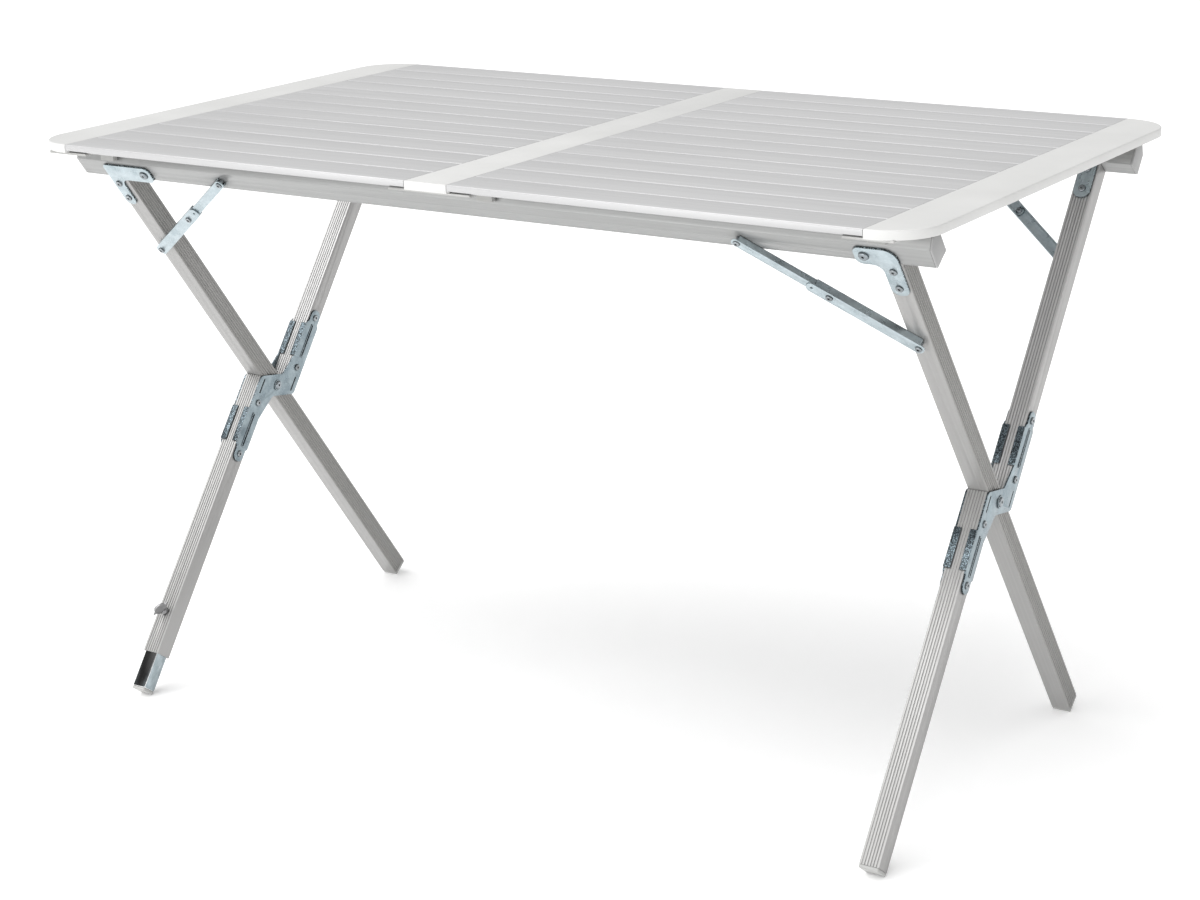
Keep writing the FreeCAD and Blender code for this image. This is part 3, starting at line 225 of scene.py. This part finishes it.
def slat_face(name, dark, light):
    """The slats' upper faces: anodised aluminium with fine drawn ribs along each slat."""
    recipe = Recipe(name)
    brush = recipe.noise((7, 900, 900), 2.0)
    draw = recipe.noise((0.5, 160, 160), 3.0)
    cloud = recipe.noise((4, 4, 4), 3.0)
    rib = recipe.node("ShaderNodeTexWave", wave_type="BANDS", bands_direction="Y")
    rib.inputs["Scale"].default_value = 1.0
    rib.inputs["Distortion"].default_value = 0.15
    recipe.join(recipe.stretched((1, 52, 1)), rib.inputs["Vector"])
    colour = recipe.tint(recipe.spread(draw, 0.0, 1.0), dark, light)
    shade = [tone * 0.94 for tone in dark]
    colour = recipe.over(recipe.spread(rib.outputs["Fac"], 0.0, 0.3, 0.6, 1.0), colour, shade)
    colour = recipe.over(recipe.spread(cloud, 0.0, 0.3, 0.5, 0.75), colour, shade)
    # Painted shade: the slats' faces that look away from up are darker.
    lip = recipe.turned_from((0.0, 0.0, 1.0), 0.4, 0.9)
    colour = recipe.over(lip, colour, [tone * 0.88 for tone in dark])
    # Edges are lightened for wear and for a painted highlight, and grooves take painted shade.
    bright = [min(1.0, tone * 1.22) for tone in light]
    colour = recipe.over(recipe.worn_and_highlit_edge(0.6 * MM, 0.9), colour, bright)
    colour = recipe.over(recipe.painted_crevice_shade(1.6 * MM, 0.7), colour, [tone * 0.3 for tone in dark])
    gloss = recipe.spread(brush, 0.30, 0.42)
    normal = recipe.bump(rib.outputs["Fac"], 0.25, 0.12 * MM)
    normal = recipe.bump(brush, 0.10, 0.05 * MM, normal)
    return recipe.finish(colour, gloss, normal, 0.22)


def moulded(name, dark, light):
    """Moulded plastic with a fine spark-eroded grain."""
    recipe = Recipe(name)
    fine = recipe.noise((1500, 1500, 1500), 2.0)
    cloud = recipe.noise((9, 9, 9), 3.0)
    colour = recipe.tint(recipe.spread(cloud, 0.0, 1.0), dark, light)
    # Edges are lightened for wear and for a painted highlight, and crevices take painted shade.
    bright = [min(1.0, tone * 1.06) for tone in light]
    colour = recipe.over(recipe.worn_and_highlit_edge(0.7 * MM, 0.5), colour, bright)
    colour = recipe.over(recipe.painted_crevice_shade(1.5 * MM, 0.7), colour, [tone * 0.3 for tone in dark])
    gloss = recipe.spread(fine, 0.42, 0.55)
    normal = recipe.bump(fine, 0.18, 0.06 * MM)
    return recipe.finish(colour, gloss, normal, 0.0, coat=0.08, specular=0.45)


def zinc(name, dark, light, rough=(0.22, 0.38), flat=None, painted_shade_reach=1.4 * MM):
    """Blue-passivated zinc on pressed steel: cloudy tone, rolling lines, edges lightened for wear and for a
    painted highlight, and painted shade in hollows. Flat is the axis that the sheet lies square to; its cut edges
    are darker."""
    recipe = Recipe(name)
    cloud = recipe.noise((60, 60, 60), 4.0)
    spangle = recipe.node("ShaderNodeTexVoronoi", feature="F1")
    spangle.inputs["Scale"].default_value = 420.0
    recipe.join(recipe.place, spangle.inputs["Vector"])
    rolled = recipe.noise((1200, 20, 1200), 2.0)
    colour = recipe.tint(recipe.spread(cloud, 0.0, 1.0), dark, light)
    grey = recipe.node("ShaderNodeSeparateColor")
    recipe.join(spangle.outputs["Color"], grey.inputs["Color"])
    tone = recipe.spread(grey.outputs["Red"], 0.0, 0.22, 0.0, 1.0)
    colour = recipe.over(tone, colour, [shade * 0.82 for shade in dark])
    if flat is not None:
        knurl = recipe.spread(recipe.noise((900, 500, 900), 1.0), 0.0, 1.0, 0.50, 0.62)
        cut = recipe.tint(knurl, [shade * 0.2 for shade in dark], [shade * 1.4 for shade in dark])
        colour = recipe.either(recipe.turned_from(flat), colour, cut)
    # Edges are lightened almost to white for wear and for a painted highlight; hollows and joins take near-black
    # painted shade.
    colour = recipe.over(recipe.worn_and_highlit_edge(0.35 * MM, 0.9), colour, (0.95, 0.97, 0.98))
    colour = recipe.over(recipe.painted_crevice_shade(painted_shade_reach, 0.95), colour, [shade * 0.05 for shade in dark])
    gloss = recipe.spread(cloud, *rough)
    normal = recipe.bump(rolled, 0.10, 0.05 * MM)
    normal = recipe.bump(cloud, 0.06, 0.3 * MM, normal)
    return recipe.finish(colour, gloss, normal, 0.85)


def bright_tube(name):
    """Chromed tube with faint drawing lines and hazy patches, with a painted dark reflection on its broad faces
    and a painted highlight along its corners.
    """
    recipe = Recipe(name, -LEG_LEAN)
    draw = recipe.noise((700, 5, 700), 2.0)
    haze = recipe.noise((110, 60, 110), 4.0)
    colour = recipe.tint(recipe.spread(haze, 0.0, 1.0), (0.24, 0.29, 0.31), (0.44, 0.50, 0.53))
    # Painted dark reflection: the broad faces square to the rear legs are near black.
    painted_dark_reflection = recipe.tint(recipe.spread(draw, 0.0, 1.0), (0.035, 0.035, 0.035), (0.05, 0.05, 0.05))
    colour = recipe.either(recipe.turned_from(REAR_FLAT, 0.93, 0.985), painted_dark_reflection, colour)
    # A painted highlight, near white, along the tube's corners.
    corner = recipe.both(recipe.turned_from(REAR_FLAT, 0.90, 0.97),
                         recipe.turned_from(ACROSS, 0.90, 0.97))
    colour = recipe.over(corner, colour, (0.98, 0.98, 0.98))
    gloss = recipe.spread(haze, 0.14, 0.30)
    normal = recipe.bump(draw, 0.06, 0.04 * MM)
    return recipe.finish(colour, gloss, normal, 1.0)


FINISH = {
    "slat_aluminium": slat_face("anodised_slat", (0.575, 0.575, 0.578), (0.64, 0.64, 0.643)),
    "board_plastic": moulded("moulded_board", (0.645, 0.645, 0.635), (0.70, 0.70, 0.69)),
    "ledge_aluminium": anodised("anodised_ledge", (0.40, 0.40, 0.39), (0.48, 0.48, 0.47)),
    "hook_plastic": moulded("moulded_hook", (0.30, 0.30, 0.29), (0.36, 0.36, 0.35)),
    "rail_aluminium": anodised("anodised_rail", (0.32, 0.323, 0.32), (0.38, 0.383, 0.38)),
    "plug_plastic": moulded("moulded_plug", (0.34, 0.34, 0.34), (0.40, 0.40, 0.40)),
    # Rivets and pins take deep painted shade round their heads and in their eyes.
    "rivet_steel": zinc("zinc_rivet", (0.17, 0.19, 0.20), (0.42, 0.45, 0.47), (0.12, 0.22),
                        painted_shade_reach=3.5 * MM),
    "pin_steel": zinc("zinc_pin", (0.17, 0.19, 0.20), (0.40, 0.44, 0.47), (0.12, 0.22),
                      painted_shade_reach=3.5 * MM),
    "plate_zinc": zinc("zinc_plate", (0.20, 0.25, 0.28), (0.38, 0.45, 0.48), flat=ACROSS),
    "brace_steel": zinc("zinc_brace", (0.38, 0.45, 0.48), (0.56, 0.63, 0.66)),
    "cap_plastic": moulded("moulded_cap", (0.42, 0.42, 0.41), (0.50, 0.50, 0.49)),
    "slide_chrome": bright_tube("chromed_tube"),
    "screw_plastic": zinc("zinc_screw", (0.28, 0.28, 0.285), (0.40, 0.40, 0.405), (0.3, 0.45)),
}
# Pieces with a finish of their own: the legs are brushed along their lean, with a darker side tone of painted
# shade, the split legs' upper halves are paler as painted light against the shade under the top, and the brackets'
# sheets lie square to a leg pair.
OWN_FINISH = {
    "long_leg": anodised("anodised_long_leg", (0.36, 0.357, 0.352), (0.41, 0.407, 0.40), LEG_LEAN,
                         side=(0.32, 0.315, 0.305), painted_shade_strength=0.3),
    "split_leg_upper": anodised("anodised_split_leg_upper_painted_light", (0.55, 0.545, 0.54),
                                (0.66, 0.655, 0.65), -LEG_LEAN, side=(0.40, 0.395, 0.39)),
    "split_leg": anodised("anodised_split_leg", (0.41, 0.407, 0.40), (0.49, 0.487, 0.48),
                          -LEG_LEAN, side=(0.40, 0.395, 0.39)),
    "bracket_inner_front": zinc("zinc_bracket_front", (0.36, 0.43, 0.46), (0.56, 0.63, 0.66),
                                flat=FRONT_FLAT),
    "bracket_inner_rear": zinc("zinc_bracket_rear", (0.36, 0.43, 0.46), (0.56, 0.63, 0.66),
                               flat=REAR_FLAT),
}
OWN_FINISH["bracket_outer_front"] = OWN_FINISH["bracket_inner_front"]
OWN_FINISH["bracket_outer_rear"] = OWN_FINISH["bracket_inner_rear"]


def finish_of(node):
    own = [finish for start, finish in OWN_FINISH.items() if node.startswith(start)]
    return own[0] if own else FINISH[SLOT_OF[node]]


# ---- Workbench ----

def nothing_selected():
    if bpy.context.object and bpy.context.object.mode != "OBJECT":
        bpy.ops.object.mode_set(mode="OBJECT")
    bpy.ops.object.select_all(action="DESELECT")


def pick(piece):
    nothing_selected()
    piece.select_set(True)
    bpy.context.view_layer.objects.active = piece


def apply_modifiers(piece):
    pick(piece)
    for modifier in list(piece.modifiers):
        bpy.ops.object.modifier_apply(modifier=modifier.name)


SHARP_ANGLE = math.radians(32)
SMOOTH_ANGLE = math.radians(40)


def soften(piece, width):
    """Rounds the sharp edges and shades the faces smoothly between them."""
    bevel = piece.modifiers.new("edge_round", "BEVEL")
    bevel.width = width
    bevel.segments = 2
    bevel.limit_method = "ANGLE"
    bevel.angle_limit = SHARP_ANGLE
    bevel.use_clamp_overlap = True
    bevel.miter_outer = "MITER_SHARP"
    apply_modifiers(piece)
    bpy.ops.object.shade_smooth_by_angle(angle=SMOOTH_ANGLE)


def ride_and_dress(piece, body, slot, material=None):
    piece.data.materials.clear()
    piece.data.materials.append(material or FINISH[slot])
    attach(piece, body)
    return piece


MERGE_WITHIN = 0.002 * MM
FLAT_WITHIN = math.radians(0.5)


def finished_copy(node, width):
    """The node's own shape as one clean skin with its edges broken, in place of the node."""
    source = frame["nodes"][node]
    piece = bpy.data.objects.new(node + "_finished", source.data.copy())
    bpy.context.scene.collection.objects.link(piece)
    pick(piece)
    bpy.ops.object.mode_set(mode="EDIT")
    bpy.ops.mesh.select_all(action="SELECT")
    bpy.ops.mesh.remove_doubles(threshold=MERGE_WITHIN)
    bpy.ops.mesh.dissolve_limited(angle_limit=FLAT_WITHIN)
    bpy.ops.object.mode_set(mode="OBJECT")
    soften(piece, width)
    ride_and_dress(piece, BODY_OF[node], SLOT_OF[node], finish_of(node))
    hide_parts(node)
    return piece


# Millimetres, by the start of a node's name.
EDGE_WIDTH = {
    "slats": 0.25, "edge_slat": 0.3, "end_board": 0.3, "centre_board": 0.4, "ledge": 0.4,
    "rail_hooks": 0.8, "front_rail": 0.6, "rear_rail": 0.6, "rail_plug": 0.7, "long_leg": 0.3,
    "split_leg": 0.3, "bracket_inner": 0.45, "bracket_outer": 0.45, "cross_plate": 0.4,
    "brace_upper": 0.3, "brace_lower": 0.3, "foot_cap": 1.0, "slide_foot_tube": 0.7,
    "slide_foot_cap": 1.2, "bracket_rivets": 0.25, "brace_rivets": 0.25, "cross_rivets": 0.25,
    "bracket_pivots": 0.3, "cross_pins": 0.3,
}


def dress_nodes():
    """Every node but the thumbscrew, which is made anew."""
    for node in frame["nodes"]:
        if node == "wing_screw":
            continue
        width = [size for start, size in EDGE_WIDTH.items() if node.startswith(start)][0]
        finished_copy(node, width * MM)


def select_faces(piece, wanted):
    """Opens the piece in edit mode with only the faces that pass selected."""
    pick(piece)
    bpy.ops.object.mode_set(mode="EDIT")
    bpy.ops.mesh.select_mode(type="FACE")
    shape = bmesh.from_edit_mesh(piece.data)
    for face in shape.faces:
        face.select_set(wanted(face))
    bmesh.update_edit_mesh(piece.data)


def pierce(piece, rim):
    """Cuts a hole between the two faces that look along x, and leaves a rim round it."""
    select_faces(piece, lambda face: abs(face.normal.x) > 0.9)
    bpy.ops.mesh.inset(thickness=rim, use_individual=True)
    bpy.ops.mesh.bridge_edge_loops()
    bpy.ops.object.mode_set(mode="OBJECT")


def settle(piece, place):
    """Puts a piece made in a leg pair's own frame in its place, and leaves it unturned."""
    piece.matrix_world = place @ piece.matrix_world
    pick(piece)
    bpy.ops.object.transform_apply(location=True, rotation=True, scale=True)


def joined(pieces, name):
    nothing_selected()
    for piece in pieces:
        piece.select_set(True)
    bpy.context.view_layer.objects.active = pieces[0]
    if len(pieces) > 1:
        bpy.ops.object.join()
    whole = bpy.context.view_layer.objects.active
    whole.name = name
    return whole


# The split leg pair's own frame: x across, y up the legs, z towards the long legs' far side.
UP_LEG = Vector((0.0, math.cos(LEG_LEAN), math.sin(LEG_LEAN)))
OUT = Vector((0.0, math.sin(LEG_LEAN), -math.cos(LEG_LEAN)))
SPLIT_PLACE = Matrix((Vector((-1, 0, 0)), UP_LEG, OUT)).transposed().to_4x4()
SPLIT_PLACE = Matrix.Translation(CROSSING) @ SPLIT_PLACE
# How far a plate's slots stand out to either side of the pin, and where a slot starts and ends
# along the leg.
NEST = 24.6 * MM
SLOT_NEAR, SLOT_FAR = 52 * MM, 97 * MM
SLOT_WIDE = 2.4 * MM
LIP_WIDE, LIP_HIGH = 1.3 * MM, 0.7 * MM
BOSS_WIDE, BOSS_HIGH, BOSS_GAP = 1.6 * MM, 0.9 * MM, 0.3 * MM
PRESSED_EDGE = 0.22 * MM


def slot_lip(across, along, out):
    """The raised lip round one long slot."""
    nothing_selected()
    bpy.ops.mesh.primitive_cube_add(size=1.0, location=(across, along, out), scale=(
        LIP_HIGH, SLOT_FAR - SLOT_NEAR + 2 * LIP_WIDE, SLOT_WIDE + 2 * LIP_WIDE))
    lip = bpy.context.object
    bpy.ops.object.transform_apply(location=True, rotation=False, scale=True)
    pierce(lip, LIP_WIDE)
    return lip


def pin_boss(across, radius):
    """The raised ring that is pressed round the crossing pin."""
    nothing_selected()
    bpy.ops.mesh.primitive_cylinder_add(vertices=48, radius=radius + BOSS_GAP + BOSS_WIDE,
                                        depth=BOSS_HIGH, location=(across, 0, 0),
                                        rotation=(0, math.radians(90), 0))
    ring = bpy.context.object
    bpy.ops.object.transform_apply(location=True, rotation=True, scale=True)
    pierce(ring, BOSS_WIDE)
    return ring


def plate_pressings():
    """Slot lips and pin rings that stand out from the crossing plates' outward faces."""
    low, high = (Vector(corner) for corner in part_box("cross_pins"))
    head_radius = (high.y - low.y) / 2
    for hand, side in (("left", -1), ("right", 1)):
        for layer, away in (("outer", side), ("inner", -side)):
            plate_low, plate_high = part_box("cross_plate_%s_%s" % (layer, hand))
            face = plate_high[0] if away > 0 else plate_low[0]
            across = -(face + away * LIP_HIGH / 2)
            middle = (SLOT_NEAR + SLOT_FAR) / 2
            parts = [slot_lip(across, turn * middle, turn * NEST) for turn in (-1, 1)]
            parts.append(pin_boss(-(face + away * BOSS_HIGH / 2), head_radius))
            whole = joined(parts, "plate_pressings_%s_%s" % (layer, hand))
            settle(whole, SPLIT_PLACE)
            soften(whole, PRESSED_EDGE)
            ride_and_dress(whole, "rear_frame", "plate_zinc")


WING_RADIUS, WING_THICK, WING_RISE = 8.3 * MM, 2.8 * MM, 7.1 * MM
WING_TURN = math.radians(35)
WING_POINT, WING_RIM = 3.6 * MM, 1.6 * MM
WING_FACE_OVER = 1e-4   # square metres: less than a round face, more than a facet of the rim
COLLAR_RADIUS, COLLAR_LONG, COLLAR_GAP = 4.5 * MM, 4.0 * MM, 0.3 * MM
COLLAR_STEP, COLLAR_NECK = 1.1 * MM, 1.0 * MM
SHANK_RADIUS, SHANK_IN = 2.95 * MM, 1.55 * MM
SCREW_EDGE = 0.3 * MM


def rod(radius, near, far, vertices=32):
    """A cylinder along z between two heights."""
    nothing_selected()
    bpy.ops.mesh.primitive_cylinder_add(vertices=vertices, radius=radius, depth=abs(far - near),
                                        location=(0, 0, (near + far) / 2))
    piece = bpy.context.object
    bpy.ops.object.transform_apply(location=True, rotation=False, scale=False)
    return piece


def screw_collar():
    """The collar, stepped in towards the wing."""
    collar = rod(COLLAR_RADIUS, -COLLAR_GAP, -COLLAR_GAP - COLLAR_LONG)
    select_faces(collar, lambda face: face.normal.z < -0.9)
    bpy.ops.mesh.inset(thickness=COLLAR_STEP)
    bpy.ops.mesh.extrude_region_move(TRANSFORM_OT_translate={"value": (0, 0, -COLLAR_NECK)})
    bpy.ops.object.mode_set(mode="OBJECT")
    return collar


def screw_wing():
    """The round flat wing, dished on both faces, with a thin point at each side."""
    nothing_selected()
    bpy.ops.mesh.primitive_cylinder_add(vertices=40, radius=WING_RADIUS, depth=WING_THICK,
                                        rotation=(0, math.radians(90), 0))
    wing = bpy.context.object
    bpy.ops.object.transform_apply(location=True, rotation=True, scale=True)
    select_faces(wing, lambda face: abs(face.normal.x) < 0.1 and abs(face.normal.y) > 0.985)
    bpy.ops.mesh.extrude_region_shrink_fatten(TRANSFORM_OT_shrink_fatten={"value": WING_POINT})
    bpy.ops.transform.resize(value=(0.45, 1.0, 0.4))
    select_faces(wing, lambda face: abs(face.normal.x) > 0.9 and face.calc_area() > WING_FACE_OVER)
    bpy.ops.mesh.inset(thickness=WING_RIM, use_individual=True)
    bpy.ops.transform.resize(value=(0.72, 1.0, 1.0))
    bpy.ops.object.mode_set(mode="OBJECT")
    wing.location = (0, 0, -COLLAR_GAP - COLLAR_LONG - WING_RISE)
    pick(wing)
    bpy.ops.object.transform_apply(location=True, rotation=False, scale=False)
    return wing


def thumbscrew():
    """Made with the leg's face at zero and the wing below it, then leant into place."""
    shank = rod(SHANK_RADIUS, SHANK_IN, -COLLAR_GAP - COLLAR_LONG / 2)
    whole = joined([screw_collar(), shank, screw_wing()], "thumbscrew_with_wing")
    face = Matrix.Translation(SPLIT_PLACE.inverted() @ Vector(SCREW["pos_m"]))
    settle(whole, SPLIT_PLACE @ face @ Matrix.Rotation(WING_TURN, 4, "Z"))
    soften(whole, SCREW_EDGE)
    ride_and_dress(whole, "thumbscrew", "screw_plastic")
    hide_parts("wing_screw")


HEAD_RADIUS, HEAD_HIGH, HEAD_EDGE = 3.6 * MM, 1.8 * MM, 0.4 * MM
RECESS_RIM, RECESS_DEEP = 1.7 * MM, 1.1 * MM
# Where the screws stand, as shares of a ledge's width and length.
SCREW_COLUMNS = {"ledge_left": (0.5,), "ledge_right": (0.5,), "ledge_centre": (0.3, 0.7)}
SCREW_ROWS = (0.16, 0.39, 0.61, 0.84)


def ledge_screws():
    """Pan-headed screws that hold the ledges up to the boards."""
    heads = []
    for ledge, columns in SCREW_COLUMNS.items():
        low, high = (Vector(corner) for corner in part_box(ledge))
        for column in columns:
            for row in SCREW_ROWS:
                head = rod(HEAD_RADIUS, low.z, low.z - HEAD_HIGH, 24)
                select_faces(head, lambda face: face.normal.z < -0.9)
                bpy.ops.mesh.inset(thickness=RECESS_RIM)
                bpy.ops.mesh.extrude_region_move(TRANSFORM_OT_translate={
                    "value": (0, 0, RECESS_DEEP)})
                bpy.ops.object.mode_set(mode="OBJECT")
                head.location.x = low.x + column * (high.x - low.x)
                head.location.y = low.y + row * (high.y - low.y)
                heads.append(head)
    whole = joined(heads, "ledge_screws")
    pick(whole)
    bpy.ops.object.transform_apply(location=True, rotation=True, scale=True)
    soften(whole, HEAD_EDGE)
    ride_and_dress(whole, "tabletop", "pin_steel")


# ---- Setting ----

EYE = Vector((1.5786, -2.4999, 1.2214))
EYE_TURN, EYE_RISE, EYE_ROLL = (math.radians(angle) for angle in (32.403, 16.967, -1.128))
SENSOR_WIDE, LENS_LONG = 36.0, 76.15


def camera():
    turn, rise, roll = EYE_TURN, EYE_RISE, EYE_ROLL
    forward = Vector((-math.sin(turn) * math.cos(rise), math.cos(turn) * math.cos(rise),
                      -math.sin(rise)))
    level = Vector((math.cos(turn), math.sin(turn), 0.0))
    upward = level.cross(forward)
    right = level * math.cos(roll) + upward * math.sin(roll)
    backward = -forward
    top = backward.cross(right)
    lens = bpy.data.cameras.new("camera")
    lens.sensor_width = SENSOR_WIDE
    lens.lens = LENS_LONG
    lens.clip_end = 60.0
    eye = bpy.data.objects.new("camera", lens)
    bpy.context.scene.collection.objects.link(eye)
    turned = Matrix((right, top, backward)).transposed().to_4x4()
    eye.matrix_world = Matrix.Translation(EYE) @ turned
    bpy.context.scene.camera = eye


def soft_light(name, spot, aim, size, power):
    light = bpy.data.lights.new(name, "AREA")
    light.shape = "RECTANGLE"
    light.size, light.size_y = size
    light.energy = power
    lamp = bpy.data.objects.new(name, light)
    bpy.context.scene.collection.objects.link(lamp)
    lamp.location = spot
    lamp.rotation_euler = (Vector(aim) - Vector(spot)).to_track_quat("-Z", "Y").to_euler()


SKY_LIGHT, SKY_SEEN = 0.50, 1.0
KEY_POWER, KEY_SPREAD, KEY_ALONG = 2.5, math.radians(70), Vector((0.32, 0.38, -1.0))
FLOOR_SIZE, FLOOR_GLOW = 60.0, 0.22


def sky():
    """An even white sky, which lights the table less than its own white shows."""
    world = bpy.data.worlds.new("studio")
    world.use_nodes = True
    dome = world.node_tree.nodes["Background"]
    dome.inputs["Color"].default_value = (1.0, 1.0, 1.0, 1.0)
    seen = world.node_tree.nodes.new("ShaderNodeLightPath")
    strength = world.node_tree.nodes.new("ShaderNodeMapRange")
    strength.inputs["To Min"].default_value = SKY_LIGHT
    strength.inputs["To Max"].default_value = SKY_SEEN
    world.node_tree.links.new(seen.outputs["Is Camera Ray"], strength.inputs["Value"])
    world.node_tree.links.new(strength.outputs["Result"], dome.inputs["Strength"])
    bpy.context.scene.world = world


def sun():
    key = bpy.data.lights.new("key", "SUN")
    key.energy = KEY_POWER
    key.angle = KEY_SPREAD
    lamp = bpy.data.objects.new("key", key)
    bpy.context.scene.collection.objects.link(lamp)
    lamp.rotation_euler = KEY_ALONG.to_track_quat("-Z", "Y").to_euler()


def pale_floor():
    nothing_selected()
    bpy.ops.mesh.primitive_plane_add(size=FLOOR_SIZE, location=(0, 0, 0))
    floor = bpy.context.object
    floor.name = "floor"
    recipe = Recipe("pale_floor")
    grain = recipe.noise((40, 40, 40), 2.0)
    colour = recipe.tint(recipe.spread(grain, 0.0, 1.0), (0.95, 0.95, 0.95), (0.97, 0.97, 0.97))
    recipe.finish(colour, recipe.spread(grain, 0.7, 0.8), recipe.bump(grain, 0.02, MM), 0.0)
    recipe.shader.inputs["Emission Color"].default_value = (1.0, 1.0, 1.0, 1.0)
    recipe.shader.inputs["Emission Strength"].default_value = FLOOR_GLOW
    floor.data.materials.append(recipe.material)


def studio():
    sky()
    sun()
    soft_light("front", spot=(-0.6, -4.2, 0.75), aim=(0, 0, 0.35), size=(4.5, 1.3), power=48)
    pale_floor()
    bpy.context.scene.view_settings.view_transform = "Standard"


dress_nodes()
plate_pressings()
thumbscrew()
ledge_screws()
camera()
studio()
